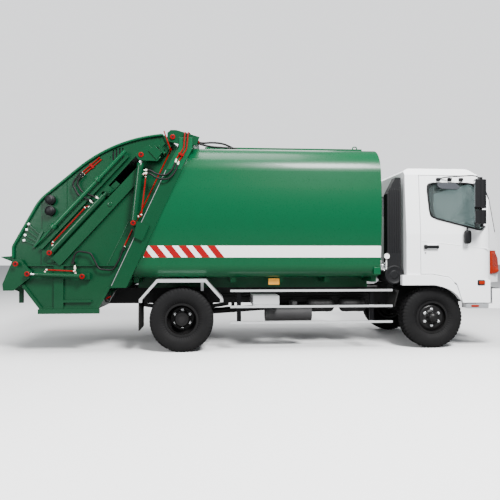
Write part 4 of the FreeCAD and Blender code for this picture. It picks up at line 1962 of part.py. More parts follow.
def seam_offset_line():
    """The long pipe beside the tailgate's front edge, from under the hinge arm down to its hose."""
    return [(seam_back(edge_pipe_top, pipe_offset), edge_pipe_top),
            (hose_start_x, hose_start_height + fitting / 2 + pipe_radius / 2)]


pipes()
bumper()
side_guards()
rear_mudguards()
mud_flaps()
chassis_boxes()
air_intake()
control_levers()


def write_nodes():
    document.recompute()
    for feature in document.Objects:
        if "Invalid" in feature.State or "Error" in feature.State:
            raise RuntimeError(f"{feature.Name}: {feature.State}")
    for group in nodes:
        if group.Shape.isNull() or not group.Shape.isValid():
            raise RuntimeError(f"{group.Label} has no valid shape")
    os.makedirs("parts", exist_ok=True)
    for group in nodes:
        group.Shape.exportStep(f"parts/{group.Label}.step")
        print(group.Label, len(group.Shape.Solids), round(group.Shape.Volume / 1e6, 2))


write_nodes()
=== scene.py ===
"""Looks of the rear loading garbage truck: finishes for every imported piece, and the small surfaces.

Metres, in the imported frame: +X forward, +Y to the vehicle's left, +Z up, the ground at zero.
"""

import json
import math

import bpy
import numpy as np
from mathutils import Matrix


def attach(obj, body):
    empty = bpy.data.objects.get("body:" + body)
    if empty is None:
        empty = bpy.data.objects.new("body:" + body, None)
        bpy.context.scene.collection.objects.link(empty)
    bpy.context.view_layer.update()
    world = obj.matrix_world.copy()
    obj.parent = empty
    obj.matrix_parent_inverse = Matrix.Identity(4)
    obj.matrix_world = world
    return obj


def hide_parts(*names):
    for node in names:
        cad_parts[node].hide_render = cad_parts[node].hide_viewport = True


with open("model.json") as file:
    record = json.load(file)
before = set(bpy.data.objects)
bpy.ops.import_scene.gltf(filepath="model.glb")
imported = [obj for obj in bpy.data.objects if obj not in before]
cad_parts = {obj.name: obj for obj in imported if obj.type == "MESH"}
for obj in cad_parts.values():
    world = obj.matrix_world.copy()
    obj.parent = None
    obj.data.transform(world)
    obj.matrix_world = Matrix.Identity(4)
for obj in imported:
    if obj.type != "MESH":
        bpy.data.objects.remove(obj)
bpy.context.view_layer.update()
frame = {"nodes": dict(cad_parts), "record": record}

REAR_AXLE = -1.070
FRONT_AXLE = 2.350
TYRE_RADIUS = 0.420
SIDES = (("right", -1.0), ("left", 1.0))
SMOOTH_ANGLE = math.radians(38)
BEVEL_ANGLE = math.radians(35)


def at(x, y, z):
    """A place whose x is measured from the rear axle."""
    return (REAR_AXLE + x, y, z)


def on(place, y):
    """An (x, z) place from the rear axle, at a distance from the middle."""
    return at(place[0], y, place[1])


def from_axle(outline):
    """An outline of (x, z) places from the rear axle, in the frame's own x."""
    return [(REAR_AXLE + x, z) for x, z in outline]


# Surfaces


def grid(points, wrap_u=False, wrap_v=False, flip=False):
    """Quads over an array of points indexed by two parameters; either can close on itself."""
    points = np.asarray(points, float)
    rows, columns = points.shape[:2]
    u = np.arange(rows if wrap_u else rows - 1)
    v = np.arange(columns if wrap_v else columns - 1)
    a, b = np.meshgrid(u, v, indexing="ij")
    c, d = (a + 1) % rows, (b + 1) % columns
    corners = [a * columns + b, c * columns + b, c * columns + d, a * columns + d]
    quads = np.stack([corner.ravel() for corner in corners], axis=1)
    return points.reshape(-1, 3), quads[:, ::-1] if flip else quads


def turn_basis(axis):
    """Unit vector along an axis, and two square to it and to each other."""
    axis = np.asarray(axis, float) / np.linalg.norm(axis)
    helper = np.array([0.0, 0.0, 1.0]) if abs(axis[2]) < 0.9 else np.array([1.0, 0.0, 0.0])
    side = np.cross(helper, axis)
    side /= np.linalg.norm(side)
    return axis, side, np.cross(axis, side)


def lathe(profile, centre, axis, count=32, lobes=None):
    """Profile of (distance, radius) turned about an axis: p = c + a·s + r·(cos t·e1 + sin t·e2)."""
    axis, side, other = turn_basis(axis)
    profile = np.asarray(profile, float)
    angle = np.linspace(0, 2 * math.pi, count, endpoint=False)
    radius = profile[:, 1][:, None] * (np.ones(count) if lobes is None else lobes(angle))[None, :]
    around = np.cos(angle)[None, :, None] * side + np.sin(angle)[None, :, None] * other
    points = np.asarray(centre, float) + profile[:, 0][:, None, None] * axis + radius[:, :, None] * around
    return grid(points, wrap_v=True, flip=True)


def hexagon(angle):
    """Radius factor that makes a turned profile six sided."""
    sector = math.pi / 3
    return math.cos(sector / 2) / np.cos((angle % sector) - sector / 2)


def bend_curve(near, corner, far, share):
    """Quadratic curve from near to far, drawn to the corner: (1 - s)²·near + 2s(1 - s)·corner + s²·far."""
    return (1 - share) ** 2 * near + 2 * share * (1 - share) * corner + share ** 2 * far


def rounded_path(places, bend, steps=5):
    """A polyline with each inner corner replaced by a quadratic curve between its two trimmed legs."""
    places = np.asarray(places, float)
    runs = [places[:1]]
    share = np.linspace(0, 1, steps)[:, None]
    for before, corner, after in zip(places[:-2], places[1:-1], places[2:]):
        near = corner + (before - corner) * min(0.45, bend / np.linalg.norm(before - corner))
        far = corner + (after - corner) * min(0.45, bend / np.linalg.norm(after - corner))
        runs.append(bend_curve(near, corner, far, share))
    runs.append(places[-1:])
    return np.concatenate(runs)


def tube(places, radius, bend=0.04, count=10, closed=False):
    """A circle carried along a rounded path: p = q(s) + r·(cos t·n(s) + sin t·b(s)), looped or capped."""
    places = np.asarray(places, float)
    if closed:
        path = rounded_path(np.concatenate([places[-1:], places, places[:1]]), bend)[1:-1]
        ahead = np.roll(path, -1, axis=0) - np.roll(path, 1, axis=0)
    else:
        path = rounded_path(places, bend) if len(places) > 2 else places
        ahead = np.gradient(path, axis=0)
    ahead /= np.linalg.norm(ahead, axis=1)[:, None]
    helper = np.eye(3)[int(np.argmin(np.ptp(path, axis=0)))]
    normal = np.cross(ahead, helper)
    normal /= np.linalg.norm(normal, axis=1)[:, None]
    other = np.cross(ahead, normal)
    angle = np.linspace(0, 2 * math.pi, count, endpoint=False)
    cos, sin = np.cos(angle)[None, :, None], np.sin(angle)[None, :, None]
    ring = cos * normal[:, None, :] + sin * other[:, None, :]
    points = path[:, None, :] + radius * ring
    if closed:
        return grid(points, wrap_u=True, wrap_v=True, flip=True)
    first, last = (np.broadcast_to(end[:, None, :], points[:1].shape) for end in (path[:1], path[-1:]))
    points = np.concatenate([first, points, last])
    return grid(points, wrap_v=True, flip=True)


def pillow(centre, halves, roundness=0.18, count=24):
    """Superellipsoid with small exponents, which is a box with soft edges."""
    v = np.linspace(-math.pi / 2, math.pi / 2, count // 2 + 1)[:, None]
    u = np.linspace(0, 2 * math.pi, count, endpoint=False)[None, :]

    def power(value):
        """The size raised to the roundness, with the sign kept."""
        return np.sign(value) * np.abs(value) ** roundness

    x = power(np.cos(v)) * power(np.cos(u))
    y = power(np.cos(v)) * power(np.sin(u))
    z = power(np.sin(v)) * np.ones_like(u)
    points = np.stack([x, y, z], axis=2) * np.asarray(halves) + np.asarray(centre)
    return grid(points, wrap_v=True, flip=True)


def prism(outline, low, high):
    """A flat outline of (x, z) places carried from one y to another, closed by a fan on each face."""
    outline = np.asarray(outline, float)
    middle = outline.mean(axis=0)
    rings = [(middle, low), (outline, low), (outline, high), (middle, high)]
    points = np.array([[(x, y, z) for x, z in np.broadcast_to(ring, outline.shape)] for ring, y in rings])
    area = np.sum(outline[:, 0] * np.roll(outline[:, 1], -1) - outline[:, 1] * np.roll(outline[:, 0], -1))
    return grid(points, wrap_v=True, flip=(area > 0) == (high > low))


def piece(name, surfaces, finish, body, smooth=True):
    """One object from several surfaces, joined to a moving body."""
    points = np.concatenate([s[0] for s in surfaces])
    starts = np.cumsum([0] + [len(s[0]) for s in surfaces[:-1]])
    quads = np.concatenate([s[1] + start for s, start in zip(surfaces, starts)])
    mesh = bpy.data.meshes.new(name)
    mesh.vertices.add(len(points))
    mesh.vertices.foreach_set("co", points.ravel())
    mesh.loops.add(quads.size)
    mesh.loops.foreach_set("vertex_index", quads.ravel().astype(np.int32))
    mesh.polygons.add(len(quads))
    mesh.polygons.foreach_set("loop_start", np.arange(0, quads.size, 4, dtype=np.int32))
    mesh.polygons.foreach_set("use_smooth", np.full(len(quads), smooth))
    mesh.update()
    mesh.validate()
    mesh.materials.append(finish)
    item = bpy.data.objects.new(name, mesh)
    bpy.context.scene.collection.objects.link(item)
    if smooth:
        with bpy.context.temp_override(object=item, selected_editable_objects=[item]):
            bpy.ops.object.shade_smooth_by_angle(angle=SMOOTH_ANGLE)
    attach(item, body)
    return item


# Finishes

DUST_TOP, DUST_FLOOR = 1.3, 0.1
DUST_COLOUR = (0.23, 0.21, 0.18, 1)
ROUGHER, SMOOTHER = 0.07, 0.05
RELIEF_DEPTH = 0.004
COAT_ROUGHNESS = 0.06


def finish(name, colour, rough, metal=0.0, spread=0.06, grain=(9.0, 90.0), bump=0.02, dust=0.0, coat=0.0,
           shine=0.5, clear=0.0):
    """Colour and roughness wander with noise on object coordinates; dust settles towards the ground."""
    material = bpy.data.materials.new(name)
    material.use_nodes = True
    tree = material.node_tree
    nodes, links = tree.nodes, tree.links
    shader = nodes["Principled BSDF"]
    place = nodes.new("ShaderNodeTexCoord").outputs["Object"]

    def noise(scale, detail=4.0):
        """Noise of a scale on the object coordinates."""
        node = nodes.new("ShaderNodeTexNoise")
        node.inputs["Scale"].default_value = scale
        node.inputs["Detail"].default_value = detail
        links.new(place, node.inputs["Vector"])
        return node.outputs["Fac"]

    broad, fine = noise(grain[0]), noise(grain[1], 2.0)
    ramp = nodes.new("ShaderNodeMapRange")
    ramp.inputs["To Min"].default_value = 1 - spread
    ramp.inputs["To Max"].default_value = 1 + spread
    links.new(broad, ramp.inputs["Value"])
    base = nodes.new("ShaderNodeVectorMath")
    base.operation = "SCALE"
    base.inputs[0].default_value = colour
    links.new(ramp.outputs["Result"], base.inputs["Scale"])
    shade = base.outputs["Vector"]
    if dust:
        split = nodes.new("ShaderNodeSeparateXYZ")
        links.new(place, split.inputs["Vector"])
        low = nodes.new("ShaderNodeMapRange")
        low.inputs["From Min"].default_value = DUST_TOP
        low.inputs["From Max"].default_value = DUST_FLOOR
        low.inputs["To Max"].default_value = dust
        links.new(split.outputs["Z"], low.inputs["Value"])
        amount = nodes.new("ShaderNodeMath")
        amount.operation = "MULTIPLY"
        links.new(low.outputs["Result"], amount.inputs[0])
        links.new(broad, amount.inputs[1])
        mix = nodes.new("ShaderNodeMix")
        mix.data_type = "RGBA"
        links.new(amount.outputs["Value"], mix.inputs["Factor"])
        links.new(shade, mix.inputs["A"])
        mix.inputs["B"].default_value = DUST_COLOUR
        shade = mix.outputs["Result"]
    links.new(shade, shader.inputs["Base Color"])
    wear = nodes.new("ShaderNodeMapRange")
    wear.inputs["To Min"].default_value = max(0.0, rough - SMOOTHER)
    wear.inputs["To Max"].default_value = min(1.0, rough + ROUGHER)
    links.new(fine, wear.inputs["Value"])
    links.new(wear.outputs["Result"], shader.inputs["Roughness"])
    if bump:
        relief = nodes.new("ShaderNodeBump")
        relief.inputs["Strength"].default_value = bump
        relief.inputs["Distance"].default_value = RELIEF_DEPTH
        links.new(fine, relief.inputs["Height"])
        links.new(relief.outputs["Normal"], shader.inputs["Normal"])
    shader.inputs["Metallic"].default_value = metal
    shader.inputs["Coat Weight"].default_value = coat
    shader.inputs["Coat Roughness"].default_value = COAT_ROUGHNESS
    shader.inputs["Transmission Weight"].default_value = clear
    shader.inputs["Specular IOR Level"].default_value = shine
    return material


FINISHES = {
    "frame_black": finish("chassis_paint", (0.004, 0.004, 0.005), 0.5, dust=0.06, spread=0.2, shine=0.2),
    "body_green": finish("green_paint", (0.0006, 0.056, 0.020), 0.28, coat=0.05, spread=0.06, bump=0.006,
                         dust=0.02, shine=0.22),
    "steel_grey": finish("worn_steel", (0.20, 0.21, 0.21), 0.45, metal=0.6, spread=0.3),
    "chrome_rod": finish("chrome", (0.80, 0.81, 0.83), 0.08, metal=1.0, spread=0.02, bump=0.0),
    "cast_grey": finish("cast_metal", (0.02, 0.02, 0.022), 0.6, metal=0.3, spread=0.3, bump=0.15, dust=0.1),
    "cab_white": finish("white_paint", (0.86, 0.87, 0.88), 0.22, coat=0.4, spread=0.012, bump=0.003),
    "glass_clear": finish("cab_glass", (0.62, 0.74, 0.72), 0.02, clear=0.97, spread=0.02, bump=0.0,
                          shine=0.35),
    "lamp_clear": finish("lamp_lens", (0.85, 0.88, 0.90), 0.08, clear=0.5, spread=0.05, bump=0.02),
    "lamp_orange": finish("orange_lens", (0.24, 0.011, 0.0003), 0.25, bump=0.03, shine=0.15),
    "plastic_black": finish("black_plastic", (0.004, 0.0042, 0.005), 0.5, bump=0.05, dust=0.02, shine=0.2),
    "seat_cloth": finish("seat_cloth", (0.05, 0.055, 0.065), 0.9, grain=(30.0, 400.0), bump=0.3),
    "tyre_rubber": finish("tyre_rubber", (0.0035, 0.0035, 0.004), 0.72, spread=0.2, bump=0.05, dust=0.02,
                          shine=0.15),
    "rim_black": finish("wheel_paint", (0.004, 0.004, 0.0045), 0.35, dust=0.03, shine=0.2),
    "guard_silver": finish("aluminium", (0.80, 0.81, 0.82), 0.3, metal=0.8, spread=0.05),
    "flap_rubber": finish("flap_rubber", (0.006, 0.006, 0.0065), 0.7, dust=0.08, bump=0.05, shine=0.2),
    "lever_metal": finish("lever_paint", (0.004, 0.040, 0.018), 0.4, spread=0.04, shine=0.3),
    "pipe_red": finish("red_paint", (0.17, 0.0004, 0.0014), 0.35, spread=0.06, shine=0.12),
    "hose_black": finish("hose_rubber", (0.004, 0.004, 0.004), 0.5, bump=0.04, shine=0.2),
}
NUT_ZINC = finish("zinc", (0.80, 0.81, 0.82), 0.22, metal=0.85, spread=0.05)
CREAM = finish("cream_fitting", (0.72, 0.70, 0.60), 0.35, spread=0.06)
KNOB_WHITE = finish("white_knob", (0.82, 0.82, 0.80), 0.3, spread=0.03)
STEP_GREY = finish("step_paint", (0.30, 0.31, 0.32), 0.45, metal=0.3, spread=0.08)
SEAL_GREY = finish("seal_rubber", (0.16, 0.17, 0.17), 0.7, spread=0.15)
VISOR_GREY = finish("visor_plastic", (0.040, 0.043, 0.050), 0.4, spread=0.05, shine=0.3)
TRIM_DARK = finish("cab_trim", (0.025, 0.027, 0.030), 0.7, spread=0.1, shine=0.2)
MIRROR_FACE = finish("mirror_face", (0.85, 0.87, 0.88), 0.03, metal=1.0, spread=0.01, bump=0.0)
PLATE_YELLOW = finish("yellow_plate", (0.75, 0.32, 0.02), 0.4, spread=0.05)
# The body's green painted darker for the tailgate and its fittings: painted shade, for the flat tail plates
# that the light leaves darker than the flank.
TAIL_GREEN_SHADED = finish("tail_green_painted_shade", (0.0006, 0.036, 0.013), 0.28, coat=0.10, spread=0.08, bump=0.006,
                    dust=0.02, shine=0.2)
SHADED_TAIL_NODES = ("tailgate_shell", "tailgate_frame", "rear_portal", "bin_lifter", "packer_carriage",
              "packer_blade", "slide_barrels", "lift_barrels", "lifter_barrels", "blade_barrels")
NO_BEVEL_SLOTS = ("glass_clear", "tyre_rubber", "rim_black", "chrome_rod", "pipe_red", "hose_black")
BEVEL_WIDTH = 0.0025
WIDE_BEVELS = {"cab_shell": 0.006, "cab_door_right": 0.004, "cab_door_left": 0.004, "bumper": 0.006}


def soften(item, width, segments=2):
    """Small round on every edge that turns by more than the bevel angle."""
    bevel = item.modifiers.new("soft_edges", "BEVEL")
    bevel.width = width
    bevel.segments = segments
    bevel.limit_method = "ANGLE"
    bevel.angle_limit = BEVEL_ANGLE
    bevel.harden_normals = True


for part in frame["record"]["subparts"]:
    name, slot_name = part["node"], part["material_slot"]
    item = frame["nodes"][name]
    item.data.materials.clear()
    # Tailgate parts take the darker green of painted shade; the rest take their slot's finish.
    item.data.materials.append(TAIL_GREEN_SHADED if name in SHADED_TAIL_NODES else FINISHES[slot_name])
    if slot_name not in NO_BEVEL_SLOTS:
        soften(item, WIDE_BEVELS.get(name, BEVEL_WIDTH))

# Wheels

TYRE_PROFILE = (
    (0.62, 0.205), (0.66, 0.222), (0.74, 0.236), (0.92, 0.262), (1.0, 0.300), (0.985, 0.352), (0.94, 0.385),
    (0.865, 0.405), (0.80, 0.416), (0.78, 0.4185), (0.60, 0.4195), (0.56, 0.4195), (0.54, 0.4195),
    (0.30, 0.420), (0.28, 0.420), (0.24, 0.420), (0.22, 0.420), (0.04, 0.420), (0.02, 0.420))
TYRE_HALF_WIDTH = 0.115
TYRE_STEPS = 300
TREAD_EDGE = 0.79
FRONT_HALF_TRACK, REAR_HALF_TRACK = 0.885, 0.830
TWIN_SHIFT = 0.140
STUD_RADIUS = 0.111
STUDS = 6


def tyre_surface(centre_y, axle_x, outward):
    """Tyre with a block tread: turned profile whose radius falls in grooves around and across the tread."""
    half_across, half_radius = np.array(TYRE_PROFILE).T
    across = np.concatenate([-half_across, half_across[::-1]])
    radius = np.concatenate([half_radius, half_radius[::-1]])
    count = TYRE_STEPS
    angle = np.arange(count) * 2 * math.pi / count
    tread = np.abs(across) < TREAD_EDGE
    rings = np.isin(np.round(np.abs(across), 3), (0.28, 0.24, 0.56, 0.02)) & tread
    shift = (np.abs(across) > 0.56) * 2
    step = (np.arange(count)[None, :] + shift[:, None]) % 6
    cross = (step < 1.5) & (np.abs(across) > 0.28)[:, None] & tread[:, None]
    edge = (np.abs(across) >= TREAD_EDGE) & (np.abs(across) < 0.95) & (radius > 0.38)
    shoulder = (step < 1.5) & edge[:, None]
    depth = 0.011 * rings[:, None] + 0.010 * (cross & ~rings[:, None]) + 0.007 * shoulder
    r = radius[:, None] - depth
    band = 0.0012 * (np.abs(radius - 0.330) < 0.02)[:, None]
    bead = np.sign(across)[:, None] * outward * band
    y = centre_y + outward * (across * TYRE_HALF_WIDTH)[:, None] + bead + 0 * r
    points = np.stack([axle_x + r * np.cos(angle), y, TYRE_RADIUS + r * np.sin(angle)], axis=2)
    return grid(points, wrap_u=True, wrap_v=True, flip=outward < 0)


def ring_of(count, radius, centre, build):
    """The same small surface set round a wheel at equal angles."""
    x, y, z = centre
    angle = np.arange(count) * 2 * math.pi / count + math.pi / 6
    return [build((x + radius * math.cos(a), y, z + radius * math.sin(a))) for a in angle]


def nut(centre, outward, size=0.016, height=0.022):
    """Wheel nut on its washer, with the stud's end showing."""
    top = height + 0.002
    profile = [(0, 0), (0, size * 1.35), (0.004, size * 1.35), (0.004, size), (height, size),
               (top, size * 0.8), (top, size * 0.55), (top + 0.010, size * 0.5), (top + 0.010, 0)]
    return lathe(profile, centre, (0, outward, 0), 18, hexagon)


for side_name, side in SIDES:
    single = [tyre_surface(side * FRONT_HALF_TRACK, FRONT_AXLE, side)]
    tyre = piece(f"tread_front_{side_name}", single, FINISHES["tyre_rubber"], f"front_wheel_{side_name}")
    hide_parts(f"front_tyre_{side_name}")
    pair = [tyre_surface(side * (REAR_HALF_TRACK + shift), REAR_AXLE, side)
            for shift in (-TWIN_SHIFT, TWIN_SHIFT)]
    tyre = piece(f"tread_rear_{side_name}", pair, FINISHES["tyre_rubber"], f"rear_wheel_{side_name}")
    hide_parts(f"rear_tyres_{side_name}")
    face = side * 0.9455
    nuts = ring_of(STUDS, STUD_RADIUS, (FRONT_AXLE, face, TYRE_RADIUS), lambda c: nut(c, side))
    piece(f"front_nuts_{side_name}", nuts, NUT_ZINC, f"front_wheel_{side_name}")
    cap = lathe([(0, 0.072), (0.012, 0.070), (0.034, 0.055), (0.046, 0.030), (0.050, 0.0)],
                (FRONT_AXLE, side * 0.999, TYRE_RADIUS), (0, side, 0), 32)
    piece(f"front_cap_{side_name}", [cap], FINISHES["rim_black"], f"front_wheel_{side_name}")
    nuts = ring_of(STUDS, STUD_RADIUS, (REAR_AXLE, side * 0.843, TYRE_RADIUS),
                   lambda c: nut(c, side, 0.017, 0.030))
    piece(f"rear_nuts_{side_name}", nuts, NUT_ZINC, f"rear_wheel_{side_name}")

# Body stripe

BODY_FOOT = (1.040, 0.975)
BODY_WIDE = (1.131, 1.850)
POST_DEPTH = 0.205
BAR_PERIOD = 0.188
BAR_SHARE = 0.56
BAR_LEAN = 0.8
LAST_BAR = 0.4875
BAR_RED = (0.24, 0.0008, 0.003, 1)
SEAM_ANGLE = math.radians(65.2)
STRIPE_LOW, STRIPE_HIGH = 1.245, 1.400
STRIPE_LIFT = 0.0015
STRIPE_END = 2.668


def seam_x(z, offset=0.0):
    """The slanted seam between body and tailgate at a height, moved forward square to itself."""
    return -0.910 + (z - 0.853) / math.tan(SEAM_ANGLE) + offset / math.sin(SEAM_ANGLE)


def stripe_surface(side, lift, low, high, end):
    """Band on the flank: y = the flank line at each height, moved out; it starts at the portal's post."""
    z = np.linspace(low, high, 5)[:, None]
    start = REAR_AXLE + seam_x(z, POST_DEPTH)
    x = start + (end - start) * np.linspace(0, 1, 12)[None, :]
    y = np.interp(z, (BODY_FOOT[1], BODY_WIDE[1]), (BODY_FOOT[0], BODY_WIDE[0])) + lift
    points = np.stack([x, side * (y + 0 * x), z + 0 * x], axis=2)
    return grid(points, flip=side < 0)


def object_axes(tree):
    """X, Y and Z of the object coordinates, as sockets of one node."""
    split = tree.nodes.new("ShaderNodeSeparateXYZ")
    tree.links.new(tree.nodes.new("ShaderNodeTexCoord").outputs["Object"], split.inputs["Vector"])
    return split.outputs


def calculate(tree, operation, first, second):
    """One arithmetic step between two sockets or plain numbers."""
    node = tree.nodes.new("ShaderNodeMath")
    node.operation = operation
    for socket, value in zip(node.inputs, (first, second)):
        if isinstance(value, float):
            socket.default_value = value
        else:
            tree.links.new(value, socket)
    return node.outputs["Value"]


def paint_over(material, share, colour):
    """Second colour laid over a finish's own one wherever the share is 1."""
    tree = material.node_tree
    base = tree.nodes["Principled BSDF"].inputs["Base Color"]
    mix = tree.nodes.new("ShaderNodeMix")
    mix.data_type = "RGBA"
    tree.links.new(share, mix.inputs["Factor"])
    tree.links.new(base.links[0].from_socket, mix.inputs["A"])
    mix.inputs["B"].default_value = colour
    tree.links.new(mix.outputs["Result"], base)
    return material


def stripe_finish():
    """White band; red bars lean over its rear part, worked out from x and z on object coordinates."""
    material = finish("stripe", (0.80, 0.81, 0.80), 0.35, spread=0.02, shine=0.2)
    tree = material.node_tree
    place = object_axes(tree)
    lean = calculate(tree, "ADD", place["X"], calculate(tree, "MULTIPLY", place["Z"], BAR_LEAN))
    behind = calculate(tree, "DIVIDE", calculate(tree, "SUBTRACT", LAST_BAR, lean), BAR_PERIOD)
    in_bar = calculate(tree, "LESS_THAN", calculate(tree, "FRACT", behind, 0.0), BAR_SHARE)
    in_rear = calculate(tree, "GREATER_THAN", behind, 0.0)
    return paint_over(material, calculate(tree, "MULTIPLY", in_bar, in_rear), BAR_RED)


GUARD_LOW = 0.365
GUARD_STEP = 0.212
GUARD_BAR = 0.028
GUARD_DARK = (0.006, 0.006, 0.007, 1)


def rail_finish():
    """Aluminium at the three rails' heights and black paint between them, from the object's height."""
    material = finish("guard_rails", (0.80, 0.81, 0.82), 0.3, metal=0.8, spread=0.05)
    tree = material.node_tree
    rise = calculate(tree, "SUBTRACT", object_axes(tree)["Z"], GUARD_LOW + GUARD_BAR / 2 - GUARD_STEP)
    steps = calculate(tree, "PINGPONG", rise, GUARD_STEP / 2)
    off_rail = calculate(tree, "GREATER_THAN", steps, GUARD_BAR / 2 + 0.002)
    return paint_over(material, off_rail, GUARD_DARK)


frame["nodes"]["side_guards"].data.materials[0] = rail_finish()

STRIPE = stripe_finish()
for side_name, side in SIDES:
    band = stripe_surface(side, STRIPE_LIFT, STRIPE_LOW, STRIPE_HIGH, REAR_AXLE + STRIPE_END)
    piece(f"stripe_{side_name}", [band], STRIPE, "chassis")

# Places, in metres, with x measured from the rear axle

HINGE = (-0.115, 2.819)
LIFT_PIN = (-0.516, 2.571)
LIFT_FOOT = (-0.615, 1.689)
SLIDE_FOOT = (-1.689, 1.304)
LIFTER_PIN = (-2.094, 1.163)
LIFTER_EYE = (-1.953, 1.035)
LIFTER_FOOT = (-1.266, 1.001)
SIDE_PLATE = 1.000
LIFT_Y, LIFTER_Y = 1.122, 1.088
PIPE_RADIUS, HOSE_RADIUS, ROOF_HOSE_RADIUS = 0.009, 0.012, 0.014
CAB_SIDE = ((0.900, 1.560, 2.380, 2.480), (1.060, 1.060, 0.986, 0.890))
CAB_NOSE = ((1.600, 2.336), (4.363, 4.115))


def cab_y(z):
    """Half width of the cab at a height."""
    return float(np.interp(z, *CAB_SIDE))


def nose_x(z):
    """Front face of the cab at a height, from the rear axle."""
    return float(np.interp(z, *CAB_NOSE))


# Hydraulic pins, fittings and hoses


def pin_head(x, z, y, side, radius=0.033):
    """Red keeper ring with a sunk middle."""
    profile = [(0, 0.0), (0, radius), (0.009, radius), (0.013, radius * 0.86), (0.013, radius * 0.46),
               (0.004, radius * 0.36), (0.004, 0)]
    return lathe(profile, at(x, side * y, z), (0, side, 0), 28)


def pin_bolt(x, z, y, side, size=0.013):
    """Hexagon head in the middle of a keeper ring."""
    return lathe([(0, 0), (0, size), (0.012, size), (0.012, 0)], at(x, side * y, z), (0, side, 0), 18,
                 hexagon)


PINS = (
    ("hinge", HINGE, 1.105, "chassis"), ("lift", LIFT_PIN, 1.158, "tailgate"),
    ("lift_foot", LIFT_FOOT, 1.158, "chassis"),
    ("slide_foot", SLIDE_FOOT, 1.081, "tailgate"), ("lifter", LIFTER_PIN, 1.128, "tailgate"),
    ("lifter_eye", LIFTER_EYE, 1.122, "lifter"), ("lifter_foot", LIFTER_FOOT, 1.118, "tailgate"),
)
for side_name, side in SIDES:
    for label, (x, z), face, body in PINS:
        head = pin_head(x, z, face, side)
        piece(f"{label}_pin_{side_name}", [head], FINISHES["pipe_red"], body)
        bolt = pin_bolt(x, z, face + 0.002, side)
        piece(f"{label}_bolt_{side_name}", [bolt], FINISHES["plastic_black"], body)


def fitting(x, y, z, heading, length=0.055, radius=0.011):
    """A union nut: a turned barrel with a wider hexagon at its middle, along a heading in the x-z plane."""
    run = (math.cos(heading), 0, math.sin(heading))
    half, shoulder = length / 2, length * 0.2
    profile = [(-half, 0), (-half, radius * 0.8), (-shoulder, radius * 0.8), (-shoulder, radius * 1.3),
               (shoulder, radius * 1.3), (shoulder, radius * 0.9), (half, radius * 0.9), (half, 0)]
    return lathe(profile, at(x, y, z), run, 12)


def moved(x, z, heading, distance):
    """A place carried along a heading in the x-z plane."""
    return x + math.cos(heading) * distance, z + math.sin(heading) * distance


PIPE_FITTINGS = (
    ("tailgate", SLIDE_FOOT, (-0.950, 2.119), 1.045, (0.0924, 0.770), 0.0682),
    ("lift_barrel", LIFT_FOOT, LIFT_PIN, LIFT_Y, (0.0924, 0.646), -0.0868),
    ("lifter_barrel", LIFTER_FOOT, LIFTER_EYE, LIFTER_Y, (0.0924, 0.476), -0.062))
for side_name, side in SIDES:
    for body, foot, eye, y, distances, offset in PIPE_FITTINGS:
        heading = math.atan2(eye[1] - foot[1], eye[0] - foot[0])
        nuts = []
        for distance in distances:
            x, z = moved(*moved(*foot, heading, distance), heading + math.pi / 2, offset * 0.62)
            nuts.append(fitting(x, side * y, z, heading + math.pi / 2, 0.030, 0.009))
            along = (distance + sum(distances) * 0.06) / 1.12
            x, z = moved(*moved(*foot, heading, along), heading + math.pi / 2, offset)
            nuts.append(fitting(x, side * y, z, heading, 0.034, 0.009))
        piece(f"{body}_fittings_{side_name}", nuts, CREAM, body)

# Seal between tailgate and portal

for side_name, side in SIDES:
    seal = [at(seam_x(z, 0.004), side * y, z) for z, y in ((0.88, 1.1335), (1.6, 1.1335), (2.38, 1.1335))]
    piece(f"seal_{side_name}", [tube(seal, 0.005, count=8)], SEAL_GREY, "chassis")

# Head of each portal post, and the pipes and hoses over the right one


def post_y(z):
    """The right post's outer face, whose head leans inward a little."""
    return -1.136 + 0.034 * np.maximum(0.0, np.asarray(z) - 2.390) / 0.450


POST_THICK = 0.060
POST_HEAD = ((-0.031, 2.816), (0.141, 2.816), (0.141, 2.670), (-0.008, 2.391), (-0.178, 2.389),
             (-0.034, 2.683))
for side_name, side in SIDES:
    points, quads = prism(from_axle(POST_HEAD), 0.0, side * POST_THICK)
    points[:, 1] -= side * (post_y(points[:, 2]) + POST_THICK)
    head = piece(f"post_head_{side_name}", [(points, quads)], FINISHES["body_green"], "chassis",
                 False)
    soften(head, 0.004)

POST_PIPES = (
    (at(0.100, -0.700, 2.870), at(0.060, -1.020, 2.890), at(0.043, -1.130, 2.877),
     at(0.030, post_y(2.668) - 0.014, 2.668), at(-0.063, post_y(2.528) - 0.014, 2.528)),
    (at(0.140, -0.700, 2.870), at(0.100, -1.020, 2.890), at(0.086, -1.130, 2.877),
     at(0.066, post_y(2.659) - 0.014, 2.659), at(-0.034, post_y(2.492) - 0.014, 2.492)))
PIPE_CLAMP = ((-0.040, 2.588), (-0.026, 2.612), (0.036, 2.582), (0.022, 2.556))
clamp = prism(from_axle(PIPE_CLAMP), post_y(2.56) - 0.030, post_y(2.56))
pipes = [tube(route, PIPE_RADIUS, bend=0.03) for route in POST_PIPES]
piece("post_pipes", pipes + [clamp], FINISHES["pipe_red"], "chassis")
POST_HOSES = (
    (at(-0.078, -1.150, 2.475), at(-0.110, -1.160, 2.390), at(-0.190, -1.172, 2.300),
     at(-0.320, -1.170, 2.320), at(-0.395, -1.168, 2.372), at(-0.440, -1.160, 2.372)),
    (at(-0.048, -1.150, 2.445), at(-0.080, -1.165, 2.345), at(-0.170, -1.185, 2.245),
     at(-0.310, -1.180, 2.262), at(-0.395, -1.172, 2.326), at(-0.440, -1.164, 2.330)))
hoses = [tube(route, HOSE_RADIUS, bend=0.09) for route in POST_HOSES]
piece("post_hoses", hoses, FINISHES["hose_black"], "chassis")
ends = [fitting(-0.072, post_y(2.495) - 0.014, 2.495, math.radians(74), 0.065, 0.010),
        fitting(-0.042, post_y(2.465) - 0.014, 2.465, math.radians(74), 0.065, 0.010),
        fitting(-0.450, -1.160, 2.372, 0.0, 0.060), fitting(-0.450, -1.164, 2.330, 0.0, 0.060)]
piece("post_hose_ends", ends, CREAM, "chassis")
